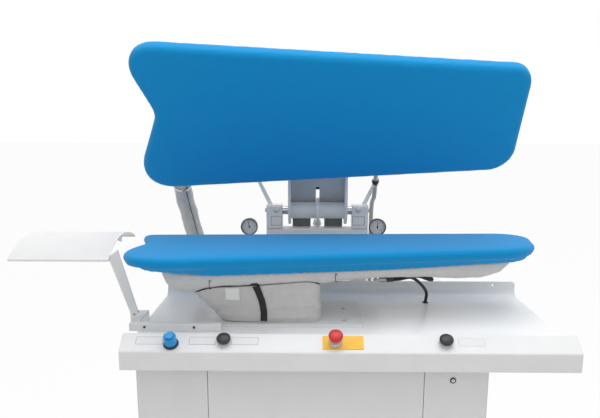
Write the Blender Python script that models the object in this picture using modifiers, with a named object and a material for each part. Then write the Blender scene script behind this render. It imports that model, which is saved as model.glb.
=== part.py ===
# Industrial ironing press: a fixed buck on a sheet-metal cabinet, a raised head on a
# rear pivot driven by an air cylinder, a sloped control console and a side tray.
# Metres, +Z up, front towards -Y. Local x runs from the cabinet's middle, y from the
# console's front face, z from the floor.

import math

import bmesh
import bpy
from mathutils import Matrix, Vector

# Allowances
GAP = 0.0003                    # between pieces that sit against each other
RUNNING = 0.0005                # round a shaft or pin, on the radius
OVERRUN = 0.004                 # how far a cutter runs past what it cuts
WELD = 0.00001

# Heights above the floor
TABLE_HEIGHT = 0.7065           # top of the worktable sheet
BUCK_RISE = 0.2235              # top of the buck pad above the worktable
CONSOLE_EDGE_DROP = 0.0245      # from the worktable to where the console's face meets its slope
FOOT_HEIGHT = 0.052

# Cabinet
CABINET_WIDTH = 0.976
CABINET_FRONT = 0.050
REAR_ROOM = 0.017               # behind the cylinder, inside the cabinet's rear
PANEL_SHEET = 0.002
DECK_SHEET = 0.003
BASE_SHEET = 0.004
TOE_DEPTH = 0.100
TOE_HEIGHT = 0.105
SEAM = 0.0015                   # open joint between front panels
SEAM_LEFT = 0.290               # left seam, from the middle
SEAM_RIGHT = 0.311
LOCK_X = 0.390
LOCK_DROP = 0.042               # lock below the top of the front panels
LOCK_RADIUS = 0.0085

# Console
CONSOLE_LEFT = 0.5205
CONSOLE_RIGHT = 0.7225
CONSOLE_FACE = 0.052
CONSOLE_DEPTH = 0.055
CONSOLE_RISE = 0.037
CONSOLE_SHEET = 0.002
KNOB_OVERHANG = 0.00934         # how far the regulator knob reaches in front of the console

# Worktable
TABLE_LEFT = 0.491
TABLE_RIGHT = 0.690
TABLE_REAR = 0.527
TABLE_SHEET = 0.002
TABLE_CLEAR = 0.0009             # under the sheet, for its folded edges
TABLE_FLANGE = 0.049
TABLE_FOLD = 0.030
TABLE_EDGE = 0.012
TABLE_HOLES = ((0.267, 0.470), (0.314, 0.470), (0.268, 0.364), (0.313, 0.364))
TABLE_HOLE_RADIUS = 0.0022
FLANGE_HOLE = (0.615, 0.036)    # from the middle, and above the worktable
FLANGE_HOLE_RADIUS = 0.0035

# Pivot and head travel
PIVOT_Y = 0.645
PIVOT_RISE = 0.052              # pivot above the top of the buck pad
OPEN_ANGLE = math.radians(57)
PAD_GAP = 0.001                 # left between the pads when closed
HEAD_LEAD = 0.020               # head ahead of the buck when closed
SHAFT_RADIUS = 0.015
TUBE_RADIUS = 0.029

# Pads and the plates under them
PAD_THICKNESS = 0.036
PAD_ROUNDING = 0.011
PLATE_THICKNESS = 0.022
PLATE_INSET = 0.012
COVER_INSET = 0.030
COVER_HEIGHT = 0.030
COVER_SHEET = 0.002

# Corners of the head's plan: distance to the side, distance in front of the pivot, radius
PAD_FRONT_LEFT = (0.573, 0.626, 0.080)
PAD_NOTCH = (0.484, 0.390, 0.060)
PAD_REAR_LEFT = (0.598, 0.097, 0.095)
PAD_REAR_RIGHT = (0.646, 0.185, 0.085)
PAD_FRONT_RIGHT = (0.642, 0.551, 0.060)
HEAD_PLAN = (PAD_REAR_LEFT, PAD_REAR_RIGHT, PAD_FRONT_RIGHT, PAD_FRONT_LEFT, PAD_NOTCH)

# Corners of the buck's plan, which tapers more
BUCK_FRONT_LEFT = (0.5965, 0.6445, 0.147)
BUCK_NOTCH = (0.5015, 0.350, 0.034)
BUCK_REAR_LEFT = (0.6515, 0.199, 0.101)
BUCK_REAR_RIGHT = (0.7055, 0.141, 0.064)
BUCK_FRONT_RIGHT = (0.6585, 0.426, 0.076)
BUCK_PLAN = (BUCK_REAR_LEFT, BUCK_REAR_RIGHT, BUCK_FRONT_RIGHT, BUCK_FRONT_LEFT, BUCK_NOTCH)

# Edge of the buck: shares of a thickness, as inset of the plan and height
PAD_EDGE_SHARES = ((0.12, 0.0), (0.0, 0.15), (0.0, 0.64), (0.06, 0.80), (0.24, 0.92), (0.80, 1.0))
PLATE_EDGE_SHARES = ((1.60, 0.0), (0.95, 0.30), (0.55, 1.0))

# Arm
ARM_LEFT = 0.082
ARM_RIGHT = 0.122
ARM_PLATE = 0.009
ARM_MIDDLE = (ARM_RIGHT - ARM_LEFT) / 2

# Rear frame
BEAM_LEFT = 0.158
BEAM_RIGHT = 0.195
BEAM_DROP = 0.060               # top of the cross-beam below the pivot
BEAM_HEIGHT = 0.060
BEAM_DEPTH = 0.060
COLUMN_WIDTH = 0.060
HOUSING_WIDTH = 0.055
HOUSING_DEPTH = 0.070
HOUSING_RISE = 0.018            # top of the housing above the pivot

# Closing cylinder
LEVER_REACH = 0.113             # pin behind the pivot
LEVER_TILT = OPEN_ANGLE / 2     # lever's rise to the rear when the head is closed
LEVER_PLATE = 0.010
PIN_RADIUS = 0.008
CYLINDER_RADIUS = 0.045
CYLINDER_LENGTH = 0.250
ROD_RADIUS = 0.0125

# Side tray
TRAY_LEFT = 0.893
TRAY_RIGHT = 0.597
TRAY_FRONT = 0.213
TRAY_DEPTH = 0.320
TRAY_EDGE_DROP = 0.0405          # front edge below the top of the buck pad
TRAY_TILT = 0.0205               # rear edge above the front edge
TRAY_CROWN = 0.0385
TRAY_SHEET = 0.0015

# Gauges
GAUGE_RADIUS = 0.030
GAUGE_LEFT = 0.219
GAUGE_RIGHT = 0.230
GAUGE_DROP = 0.057              # gauge centre below the pivot

# Worked out from the sizes above
WORK_HEIGHT = TABLE_HEIGHT + BUCK_RISE
CONSOLE_EDGE_HEIGHT = TABLE_HEIGHT - CONSOLE_EDGE_DROP
CABINET_REAR = PIVOT_Y + LEVER_REACH + CYLINDER_RADIUS + REAR_ROOM
TRAY_EDGE_HEIGHT = WORK_HEIGHT - TRAY_EDGE_DROP
PIVOT_HEIGHT = WORK_HEIGHT + PIVOT_RISE
DECK_HEIGHT = TABLE_HEIGHT - TABLE_SHEET - TABLE_CLEAR
CONSOLE_BOTTOM = CONSOLE_EDGE_HEIGHT - CONSOLE_FACE
CONSOLE_TOP = CONSOLE_EDGE_HEIGHT + CONSOLE_RISE
HALF_WIDTH = CABINET_WIDTH / 2
CENTRE_X = (TRAY_LEFT - CONSOLE_RIGHT) / 2
CENTRE_Y = -(CABINET_REAR - KNOB_OVERHANG) / 2
SLOPE_LENGTH = math.hypot(CONSOLE_DEPTH, CONSOLE_RISE)
SLOPE_ANGLE = math.atan2(CONSOLE_RISE, CONSOLE_DEPTH)
PLATE_TOP = WORK_HEIGHT - PAD_THICKNESS - GAP
CHAMBER_TOP = PLATE_TOP - PLATE_THICKNESS - GAP
BEAM_TOP = PIVOT_HEIGHT - BEAM_DROP
HEAD_FACE = -PIVOT_RISE + PAD_GAP                   # heights from the pivot, head closed
HEAD_PLATE = HEAD_FACE + PAD_THICKNESS + GAP
HEAD_COVER = HEAD_PLATE + PLATE_THICKNESS + GAP

for leftover in list(bpy.data.objects):
    bpy.data.objects.remove(leftover, do_unlink=True)

press = bpy.data.collections.new("ironing_press")
bpy.context.scene.collection.children.link(press)
guides = bpy.data.collections.new("cutters")
bpy.context.scene.collection.children.link(guides)


def finish(name, colour, roughness, metallic=0.0):
    material = bpy.data.materials.new(name)
    material.use_nodes = True
    shader = material.node_tree.nodes["Principled BSDF"]
    shader.inputs["Base Color"].default_value = (*colour, 1.0)
    shader.inputs["Roughness"].default_value = roughness
    shader.inputs["Metallic"].default_value = metallic
    return material


white_paint = finish("white_paint", (0.83, 0.83, 0.83), 0.38)
grey_paint = finish("grey_paint", (0.22, 0.22, 0.23), 0.45)
blue_cloth = finish("blue_cloth", (0.0, 0.22, 0.56), 0.9)
grey_cloth = finish("grey_cloth", (0.52, 0.515, 0.51), 0.95)
cast_metal = finish("cast_metal", (0.45, 0.45, 0.44), 0.55, 0.8)
steel = finish("steel", (0.60, 0.60, 0.60), 0.3, 1.0)
black_plastic = finish("black_plastic", (0.02, 0.02, 0.02), 0.4)
blue_plastic = finish("blue_plastic", (0.0, 0.25, 0.60), 0.35)
red_plastic = finish("red_plastic", (0.60, 0.02, 0.02), 0.35)
yellow_plate = finish("yellow_plate", (0.85, 0.50, 0.0), 0.5)
pale_plastic = finish("pale_plastic", (0.65, 0.65, 0.62), 0.45)
black_rubber = finish("black_rubber", (0.015, 0.015, 0.015), 0.8)
hose_grey = finish("hose_grey", (0.50, 0.50, 0.48), 0.7)


def empty(name, location, parent=None, rotation=(0, 0, 0)):
    holder = bpy.data.objects.new(name, None)
    holder.location = location
    holder.rotation_euler = rotation
    holder.parent = parent
    press.objects.link(holder)
    return holder


frame = empty("press_frame", (CENTRE_X, CENTRE_Y, 0))
head = empty("head_pivot", (0, PIVOT_Y, PIVOT_HEIGHT), frame, (-OPEN_ANGLE, 0, 0))


def part(name, mesh, material, location=(0, 0, 0), rotation=(0, 0, 0), parent=frame):
    obj = bpy.data.objects.new(name, mesh)
    mesh.name = name
    mesh.materials.clear()
    mesh.materials.append(material)
    mesh.shade_smooth()
    mesh.set_sharp_from_angle(angle=math.radians(35))
    obj.location = location
    obj.rotation_euler = rotation
    obj.parent = parent
    press.objects.link(obj)
    return obj


def evaluated(temp):
    bpy.context.scene.collection.objects.link(temp)
    graph = bpy.context.evaluated_depsgraph_get()
    mesh = bpy.data.meshes.new_from_object(temp.evaluated_get(graph))
    bpy.data.objects.remove(temp, do_unlink=True)
    bm = bmesh.new()
    bm.from_mesh(mesh)
    bmesh.ops.remove_doubles(bm, verts=bm.verts, dist=WELD)
    bm.to_mesh(mesh)
    bm.free()
    return mesh


def with_bevel(mesh, width, segments=2, angle=math.radians(50)):
    temp = bpy.data.objects.new("bevelled", mesh)
    bevel = temp.modifiers.new("Bevel", "BEVEL")
    bevel.width = width
    bevel.segments = segments
    bevel.limit_method = "ANGLE"
    bevel.angle_limit = angle
    bevel.use_clamp_overlap = True
    return evaluated(temp)


def with_wall(mesh, thickness, side=-1):
    temp = bpy.data.objects.new("walled", mesh)
    solid = temp.modifiers.new("Wall", "SOLIDIFY")
    solid.thickness = thickness
    solid.offset = side
    solid.use_even_offset = True
    return evaluated(temp)


def from_bmesh(bm):
    bmesh.ops.recalc_face_normals(bm, faces=bm.faces)
    mesh = bpy.data.meshes.new("shape")
    bm.to_mesh(mesh)
    bm.free()
    return mesh


def block(low, high, bevel=0.0):
    bm = bmesh.new()
    bmesh.ops.create_cube(bm, size=1)
    size = [b - a for a, b in zip(low, high)]
    middle = [(a + b) / 2 for a, b in zip(low, high)]
    bmesh.ops.scale(bm, vec=size, verts=bm.verts)
    bmesh.ops.translate(bm, vec=middle, verts=bm.verts)
    mesh = from_bmesh(bm)
    return with_bevel(mesh, bevel) if bevel else mesh


def moved(mesh, matrix):
    copy = mesh.copy()
    copy.transform(matrix)
    return copy


def outline(loops, thickness):
    """A flat plate in XY, its middle at z = 0; the loops after the first are holes."""
    curve = bpy.data.curves.new("outline", "CURVE")
    curve.dimensions = "2D"
    curve.fill_mode = "BOTH"
    curve.extrude = thickness / 2
    for loop in loops:
        spline = curve.splines.new("POLY")
        spline.points.add(len(loop) - 1)
        for point, place in zip(spline.points, loop):
            point.co = (place[0], place[1], 0, 1)
        spline.use_cyclic_u = True
    mesh = evaluated(bpy.data.objects.new("outline", curve))
    bm = bmesh.new()
    bm.from_mesh(mesh)
    return from_bmesh(bm)


def rounded(corners, steps=6):
    """Corners (x, y, radius) in order, as points with an arc at each corner."""
    points = []
    count = len(corners)
    for i, (x, y, radius) in enumerate(corners):
        here = Vector((x, y))
        before = (Vector(corners[i - 1][:2]) - here).normalized()
        after = (Vector(corners[(i + 1) % count][:2]) - here).normalized()
        if radius <= 0:
            points.append((x, y))
            continue
        half = before.angle(after) / 2
        centre = here + (before + after).normalized() * radius / math.sin(half)
        first = here + before * radius / math.tan(half) - centre
        last = here + after * radius / math.tan(half) - centre
        turn = first.angle_signed(last)
        for k in range(steps + 1):
            arc = Matrix.Rotation(-turn * k / steps, 2) @ first
            points.append(tuple(centre + arc))
    return points


def circle(x, y, radius, count=24):
    turn = 2 * math.pi / count
    return [(x + radius * math.cos(k * turn), y + radius * math.sin(k * turn)) for k in range(count)]


def rectangle(left, right, low, high, radius=0.0, steps=4):
    return rounded([(left, low, radius), (right, low, radius), (right, high, radius),
                    (left, high, radius)], steps)


def slot(x, y, length, width, steps=6):
    """A slot along x, its middle at x, y."""
    return rectangle(x - length / 2, x + length / 2, y - width / 2, y + width / 2, width * 0.499, steps)


def turned(profile, steps=32):
    """Turns (radius, height) points, given from the top down, round Z."""
    mesh = bpy.data.meshes.new("profile")
    mesh.from_pydata([(r, 0, z) for r, z in profile], [(i, i + 1) for i in range(len(profile) - 1)], [])
    temp = bpy.data.objects.new("profile", mesh)
    screw = temp.modifiers.new("Screw", "SCREW")
    screw.angle = 2 * math.pi
    screw.steps = steps
    screw.render_steps = steps
    screw.use_merge_vertices = True
    screw.merge_threshold = WELD
    mesh = evaluated(temp)
    bm = bmesh.new()
    bm.from_mesh(mesh)
    return from_bmesh(bm)


def round_bar(radius, start, end, steps=24, bore=0.0):
    """A bar, or a tube with a bore, from start to end."""
    start = Vector(start)
    end = Vector(end)
    length = (end - start).length
    if bore:
        profile = [(bore, length), (radius, length), (radius, 0), (bore, 0), (bore, length)]
    else:
        profile = [(0, length), (radius, length), (radius, 0), (0, 0)]
    turn = (end - start).to_track_quat("Z", "Y").to_matrix().to_4x4()
    return moved(turned(profile, steps), Matrix.Translation(start) @ turn)


def wire(points, radius, resolution=3):
    """A round wire or hose through the points, with flat ends."""
    curve = bpy.data.curves.new("wire", "CURVE")
    curve.dimensions = "3D"
    curve.bevel_depth = radius
    curve.bevel_resolution = resolution
    curve.use_fill_caps = True
    spline = curve.splines.new("POLY")
    spline.points.add(len(points) - 1)
    for point, place in zip(spline.points, points):
        point.co = (*place, 1)
    mesh = evaluated(bpy.data.objects.new("wire", curve))
    bm = bmesh.new()
    bm.from_mesh(mesh)
    return from_bmesh(bm)


def smooth_route(points, step):
    """Points every step along a smooth curve through the given ones."""
    places = [Vector(p) for p in points]
    places = [2 * places[0] - places[1]] + places + [2 * places[-1] - places[-2]]
    fine = []
    for a, b, c, d in zip(places, places[1:], places[2:], places[3:]):
        for k in range(20):
            t = k / 20
            fine.append(0.5 * (2 * b + (c - a) * t + (2 * a - 5 * b + 4 * c - d) * t * t
                               + (3 * b - a - 3 * c + d) * t * t * t))
    fine.append(places[-2])
    lengths = [0.0]
    for a, b in zip(fine, fine[1:]):
        lengths.append(lengths[-1] + (b - a).length)
    count = max(2, round(lengths[-1] / step))
    route = []
    for k in range(count + 1):
        target = lengths[-1] * k / count
        i = max(j for j, length in enumerate(lengths) if length <= target + WELD)
        i = min(i, len(fine) - 2)
        share = (target - lengths[i]) / (lengths[i + 1] - lengths[i])
        route.append(fine[i].lerp(fine[i + 1], share))
    return route, lengths[-1]


def straight_ends(route, first, last):
    """Lines the first and last stretch up with the directions the hose leaves by."""
    route[1] = route[0] + first.normalized() * (route[1] - route[0]).length
    route[-2] = route[-1] + last.normalized() * (route[-2] - route[-1]).length
    return route


def sheet(profile, start, end):
    """An open sheet: the profile (y, z) drawn along x from start to end."""
    bm = bmesh.new()
    rows = [[bm.verts.new((x, y, z)) for y, z in profile] for x in (start, end)]
    for i in range(len(profile) - 1):
        bm.faces.new((rows[0][i], rows[1][i], rows[1][i + 1], rows[0][i + 1]))
    mesh = bpy.data.meshes.new("sheet")
    bm.to_mesh(mesh)
    bm.free()
    return mesh


def cutter(mesh, parent=frame, location=(0, 0, 0), rotation=(0, 0, 0)):
    obj = bpy.data.objects.new("cutter", mesh)
    obj.location = location
    obj.rotation_euler = rotation
    obj.parent = parent
    obj.hide_render = True
    obj.display_type = "WIRE"
    guides.objects.link(obj)
    return obj


def cut(obj, tool, operation="DIFFERENCE"):
    boolean = obj.modifiers.new("Cut", "BOOLEAN")
    boolean.operation = operation
    boolean.solver = "EXACT"
    boolean.object = tool


def loft(rings, open_rings=False, capped=True):
    """Skins rings of equal count; open rings keep their last edge open."""
    bm = bmesh.new()
    rows = [[bm.verts.new(p) for p in ring] for ring in rings]
    count = len(rings[0])
    last = count - 1 if open_rings else count
    for low, high in zip(rows, rows[1:]):
        for i in range(last):
            j = (i + 1) % count
            bm.faces.new((low[i], low[j], high[j], high[i]))
    if capped:
        bm.faces.new(rows[0])
        bm.faces.new(rows[-1])
    return from_bmesh(bm)


ALONG_X = Matrix.Rotation(math.pi / 2, 4, "Y")              # turns +Z to +X
TO_FRONT = Matrix.Rotation(math.pi / 2, 4, "X")             # turns +Z to -Y, +Y to +Z
# A plate drawn as (y, z) points, standing in the YZ plane
UPRIGHT = Matrix(((0, 0, 1, 0), (1, 0, 0, 0), (0, 1, 0, 0), (0, 0, 0, 1)))


def side_plate(loops, x, thickness):
    """A plate drawn in (y, z) with its middle at x."""
    return moved(outline(loops, thickness), Matrix.Translation((x, 0, 0)) @ UPRIGHT)


def front_plate(loops, y, thickness):
    """A plate drawn in (x, z) with its middle at y."""
    return moved(outline(loops, thickness), Matrix.Translation((0, y, 0)) @ TO_FRONT)


def flat_plate(loops, z, thickness):
    return moved(outline(loops, thickness), Matrix.Translation((0, 0, z)))


# Cabinet
base_bottom = FOOT_HEIGHT
base_top = base_bottom + BASE_SHEET
panel_bottom = base_top + GAP
panel_top = DECK_HEIGHT - DECK_SHEET - GAP
inner_half = HALF_WIDTH - PANEL_SHEET - GAP
inner_front = CABINET_FRONT + PANEL_SHEET + GAP
inner_rear = CABINET_REAR - PANEL_SHEET - GAP
toe_y = CABINET_FRONT + TOE_DEPTH
toe_top = base_bottom + TOE_HEIGHT


def levelling_feet(plate):
    pad_radius = 0.027
    pad_height = 0.010
    neck_radius = 0.010
    stem_radius = 0.006
    inset = 0.050
    welded = base_bottom + BASE_SHEET / 2
    profile = [(0, welded), (stem_radius * 2, welded),
               (stem_radius * 2, base_bottom - pad_height), (stem_radius, base_bottom - pad_height),
               (stem_radius, pad_height * 1.6), (neck_radius, pad_height * 1.5),
               (pad_radius, pad_height * 0.6), (pad_radius, 0), (0, 0)]
    foot = turned(profile, 10)
    for y in (toe_y + inset, CABINET_REAR - inset):
        for x in (-HALF_WIDTH + inset, HALF_WIDTH - inset):
            cut(plate, cutter(foot.copy(), frame, (x, y, 0)), "UNION")


def base_plate():
    plate = flat_plate([rectangle(-HALF_WIDTH, HALF_WIDTH, toe_y + PANEL_SHEET + GAP, CABINET_REAR)],
                       base_bottom + BASE_SHEET / 2, BASE_SHEET)
    return part("base_plate", plate, grey_paint)


def side_panels():
    corner = 0.004
    front_y = CABINET_FRONT
    loop = rounded([(toe_y, panel_bottom, 0), (CABINET_REAR, panel_bottom, corner),
                    (CABINET_REAR, panel_top, corner), (CONSOLE_DEPTH + 2 * GAP, panel_top, corner),
                    (CONSOLE_DEPTH + 2 * GAP, CONSOLE_BOTTOM - 2 * GAP, 0),
                    (front_y, CONSOLE_BOTTOM - 2 * GAP, 0),
                    (front_y, toe_top, corner), (toe_y, toe_top, corner)], 3)
    for name, x in (("side_panel_left", -HALF_WIDTH + PANEL_SHEET / 2),
                    ("side_panel_right", HALF_WIDTH - PANEL_SHEET / 2)):
        part(name, side_plate([loop], x, PANEL_SHEET), white_paint)


def rear_panel():
    rows = 6
    columns = 3
    louvre_length = 0.180
    louvre_width = 0.008
    pitch = 0.034
    spread = 0.280
    loops = [rectangle(-inner_half, inner_half, panel_bottom, panel_top, 0.004)]
    middle = (panel_bottom + panel_top) / 2
    for row in range(rows):
        for column in range(columns):
            x = (column - (columns - 1) / 2) * spread
            z = middle + (row - (rows - 1) / 2) * pitch
            loops.append(slot(x, z, louvre_length, louvre_width, 1))
    part("rear_panel", front_plate(loops, CABINET_REAR - PANEL_SHEET / 2, PANEL_SHEET), white_paint)


def kick_plate():
    bottom = panel_bottom
    inner = toe_y + PANEL_SHEET
    loop = [(inner_front, toe_top), (inner_front, toe_top - PANEL_SHEET),
            (toe_y, toe_top - PANEL_SHEET), (toe_y, bottom), (inner, bottom), (inner, toe_top)]
    plate = outline([loop], 2 * inner_half)
    part("kick_plate", moved(plate, UPRIGHT), grey_paint)


def front_panels():
    low = toe_top
    high = CONSOLE_BOTTOM - GAP * 3
    corner = 0.003
    rim = 0.010
    spans = (("front_panel_left", -inner_half, -SEAM_LEFT - SEAM / 2),
             ("front_panel_centre", -SEAM_LEFT + SEAM / 2, SEAM_RIGHT - SEAM / 2),
             ("front_panel_right", SEAM_RIGHT + SEAM / 2, inner_half))
    for name, left, right in spans:
        loops = [rectangle(left, right, low + GAP, high, corner)]
        if name == "front_panel_right":
            loops.append(circle(LOCK_X, high - LOCK_DROP, LOCK_RADIUS - rim / 3 + GAP, 20))
        plate = front_plate(loops, CABINET_FRONT + PANEL_SHEET / 2, PANEL_SHEET)
        part(name, plate, white_paint)


def door_lock():
    head_depth = 0.003
    barrel_length = 0.022
    barrel = LOCK_RADIUS - 0.010 / 3
    keyway_length = 0.007
    keyway_width = 0.0018
    profile = [(0, head_depth), (LOCK_RADIUS * 0.8, head_depth), (LOCK_RADIUS, head_depth * 0.6),
               (LOCK_RADIUS, GAP), (barrel, GAP), (barrel, -barrel_length), (0, -barrel_length)]
    obj = part("door_lock", turned(profile, 16), black_plastic,
               (LOCK_X, CABINET_FRONT, CONSOLE_BOTTOM - GAP * 3 - LOCK_DROP), (math.pi / 2, 0, 0))
    keyway = outline([slot(0, 0, keyway_length, keyway_width)], head_depth)
    cut(obj, cutter(keyway, obj, (0, 0, head_depth)))


def front_rail():
    depth = 0.040
    low = CONSOLE_BOTTOM
    y = CONSOLE_DEPTH + GAP
    rail = block((-inner_half, y, low), (inner_half, y + depth, panel_top), 0.002)
    part("front_rail", rail, grey_paint)


levelling_feet(base_plate())
side_panels()
rear_panel()
kick_plate()
front_panels()
door_lock()
front_rail()

# Duct, rear frame and hose places that the deck is cut for
DUCT_LEFT = 0.235
DUCT_RIGHT = 0.010
DUCT_FRONT = 0.190
DUCT_REAR = 0.380
DUCT_SHEET = 0.002
CYLINDER_Y = PIVOT_Y + LEVER_REACH
COLUMN_Y = (PIVOT_Y - BEAM_DEPTH / 2, PIVOT_Y + BEAM_DEPTH / 2)
STEAM_HOSE_RADIUS = 0.032
STEAM_HOSE_X = 0.400
STEAM_HOSE_Y = 0.690
AIR_HOSE_RADIUS = 0.0075
AIR_HOSE_X = 0.212
AIR_HOSE_Y = 0.688
GAUGE_PIPE_RADIUS = 0.0065
GAUGE_Y = 0.640


def deck():
    opening = 0.003
    loops = [rectangle(-inner_half, inner_half, CONSOLE_DEPTH + GAP, inner_rear),
             rectangle(-DUCT_LEFT - opening, DUCT_RIGHT + opening,
                       DUCT_FRONT - opening, DUCT_REAR + opening, opening),
             circle(ARM_MIDDLE, CYLINDER_Y, CYLINDER_RADIUS + opening, 32)]
    part("cabinet_deck", flat_plate(loops, DECK_HEIGHT - DECK_SHEET / 2, DECK_SHEET), white_paint)


def worktable():
    front = CONSOLE_DEPTH + GAP * 3
    corner = 0.012
    top = TABLE_HEIGHT
    steps = 6
    profile = [(front, top)]
    for k in range(steps + 1):
        angle = math.pi / 2 * k / steps
        profile.append((TABLE_REAR - TABLE_FOLD + TABLE_FOLD * math.sin(angle),
                        top + TABLE_FOLD * (1 - math.cos(angle))))
    profile.append((TABLE_REAR, top + TABLE_FLANGE))
    bm = bmesh.new()
    bm.from_mesh(sheet(profile, -TABLE_LEFT, TABLE_RIGHT))
    tips = [v for v in bm.verts if v.co.z > top + TABLE_FLANGE - WELD]
    bmesh.ops.bevel(bm, geom=tips, offset=corner, segments=4, profile=0.5, affect="VERTICES",
                    clamp_overlap=True)
    sides = [e for e in bm.edges if e.is_boundary and abs(e.verts[0].co.x - e.verts[1].co.x) < WELD
             and max(v.co.z for v in e.verts) < top + WELD]
    folded = bmesh.ops.extrude_edge_only(bm, edges=sides)
    edge_verts = [v for v in folded["geom"] if isinstance(v, bmesh.types.BMVert)]
    bmesh.ops.translate(bm, verts=edge_verts, vec=(0, 0, -TABLE_EDGE))
    bmesh.ops.recalc_face_normals(bm, faces=bm.faces)
    mesh = bpy.data.meshes.new("worktable")
    bm.to_mesh(mesh)
    bm.free()
    if sum(p.normal.z for p in mesh.polygons) < 0:
        mesh.flip_normals()
    table = part("worktable", with_wall(mesh, TABLE_SHEET), white_paint)
    opening = 0.003
    cut(table, cutter(block((-DUCT_LEFT - opening, DUCT_FRONT - opening, top - TABLE_SHEET - OVERRUN),
                            (DUCT_RIGHT + opening, DUCT_REAR + opening, top + OVERRUN))))
    for x, y in TABLE_HOLES:
        cut(table, cutter(round_bar(TABLE_HOLE_RADIUS, (x, y, top - OVERRUN), (x, y, top + OVERRUN), 8)))
    x, rise = FLANGE_HOLE
    cut(table, cutter(round_bar(FLANGE_HOLE_RADIUS, (x, TABLE_REAR - OVERRUN, top + rise),
                                (x, TABLE_REAR + OVERRUN, top + rise), 12)))


deck()
worktable()


# Console: a folded shell, open below, with its controls square to the slope
def on_slope(x, along_share, lift=0.0):
    """A place on the slope, by share of its length from the front edge."""
    y = CONSOLE_DEPTH * along_share - lift * math.sin(SLOPE_ANGLE)
    z = CONSOLE_EDGE_HEIGHT + CONSOLE_RISE * along_share + lift * math.cos(SLOPE_ANGLE)
    return (x, y, z)


CONTROL_BORE = 0.011
KNOB_X = -0.382
KNOB_SHARE = 0.42
BUTTON_LEFT_X = -0.239
BUTTON_RIGHT_X = 0.361
BUTTON_SHARE = 0.55
STOP_X = 0.063
STOP_SHARE = 0.52
STEM_RADIUS = 0.008
CONTROLS = ((KNOB_X, KNOB_SHARE), (BUTTON_LEFT_X, BUTTON_SHARE), (BUTTON_RIGHT_X, BUTTON_SHARE),
            (STOP_X, STOP_SHARE))


def console():
    edge_radius = 0.004
    low = CONSOLE_BOTTOM
    profile = [(0, low), (0, CONSOLE_EDGE_HEIGHT), (CONSOLE_DEPTH, CONSOLE_TOP), (CONSOLE_DEPTH, low)]
    bm = bmesh.new()
    left = [bm.verts.new((-CONSOLE_LEFT, y, z)) for y, z in profile]
    right = [bm.verts.new((CONSOLE_RIGHT, y, z)) for y, z in profile]
    for i in range(3):
        bm.faces.new((left[i], left[i + 1], right[i + 1], right[i]))
    bm.faces.new(left)
    bm.faces.new(right)
    mesh = from_bmesh(bm)
    if mesh.polygons[0].normal.y > 0:
        mesh.flip_normals()
    mesh = with_wall(with_bevel(mesh, edge_radius, 3, math.radians(25)), CONSOLE_SHEET)
    obj = part("console", mesh, white_paint)
    for x, share in CONTROLS:
        drill = turned([(0, OVERRUN), (CONTROL_BORE, OVERRUN), (CONTROL_BORE, -2 * OVERRUN),
                        (0, -2 * OVERRUN)], 24)
        cut(obj, cutter(drill, frame, on_slope(x, share), (SLOPE_ANGLE, 0, 0)))


def on_console(name, mesh, material, x, share, lift=0.0):
    return part(name, mesh, material, on_slope(x, share, lift), (SLOPE_ANGLE, 0, 0))


def pressure_knob():
    ring_radius = 0.021
    ring_height = 0.005
    nut_depth = 0.012
    knob_radius = 0.0175
    knob_height = 0.034
    skirt = 0.002
    stem = STEM_RADIUS * 0.5
    ring = turned([(stem + RUNNING, ring_height), (ring_radius - skirt, ring_height),
                   (ring_radius, ring_height - skirt),
                   (ring_radius, GAP), (CONTROL_BORE - GAP, GAP), (CONTROL_BORE - GAP, -nut_depth),
                   (stem + RUNNING, -nut_depth), (stem + RUNNING, ring_height)], 18)
    on_console("regulator_ring", ring, black_plastic, KNOB_X, KNOB_SHARE)
    low = ring_height + GAP
    ribs = 14
    rib_depth = 0.0008
    grip = []
    for k in range(ribs * 2):
        angle = math.pi * k / ribs
        radius = knob_radius - (rib_depth if k % 2 else 0)
        grip.append((radius * math.cos(angle), radius * math.sin(angle)))
    grip_height = knob_height * 0.8
    body = moved(outline([grip], grip_height), Matrix.Translation((0, 0, low + grip_height / 2)))
    body = with_bevel(body, skirt, 2, math.radians(60))
    knob = on_console("regulator_knob", body, blue_plastic, KNOB_X, KNOB_SHARE)
    cap = turned([(0, low + knob_height), (knob_radius * 0.6, low + knob_height),
                  (knob_radius * 0.72, low + knob_height - skirt),
                  (knob_radius * 0.72, low + grip_height / 2),
                  (0, low + grip_height / 2)], 20)
    cut(knob, cutter(cap, knob), "UNION")
    shank = turned([(0, low + skirt), (stem, low + skirt), (stem, -nut_depth), (0, -nut_depth)], 16)
    cut(knob, cutter(shank, knob), "UNION")


def push_buttons():
    collar_radius = 0.019
    collar_height = 0.006
    nut_depth = 0.012
    dome_radius = 0.0195
    dome_low = 0.012
    dome_height = 0.011
    rim = 0.002
    travel_room = 0.002
    for side, x in (("left", BUTTON_LEFT_X), ("right", BUTTON_RIGHT_X)):
        collar = turned([(STEM_RADIUS + RUNNING, collar_height), (collar_radius - rim, collar_height),
                         (collar_radius, collar_height - rim), (collar_radius, GAP),
                         (CONTROL_BORE - GAP, GAP),
                         (CONTROL_BORE - GAP, -nut_depth), (STEM_RADIUS + RUNNING, -nut_depth),
                         (STEM_RADIUS + RUNNING, collar_height)], 18)
        on_console("button_collar_" + side, collar, pale_plastic, x, BUTTON_SHARE)
        top = dome_low + dome_height
        dome = [(0, top)]
        for k in range(1, 7):
            angle = math.pi / 2 * k / 6
            dome.append((dome_radius * math.sin(angle),
                         dome_low + rim + (dome_height - rim) * math.cos(angle)))
        dome += [(dome_radius - rim / 2, dome_low), (STEM_RADIUS, dome_low),
                 (STEM_RADIUS, -nut_depth + travel_room), (0, -nut_depth + travel_room)]
        on_console("push_button_" + side, turned(dome, 18), black_plastic, x, BUTTON_SHARE)


STOP_PLATE_HEIGHT = 0.0015


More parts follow.
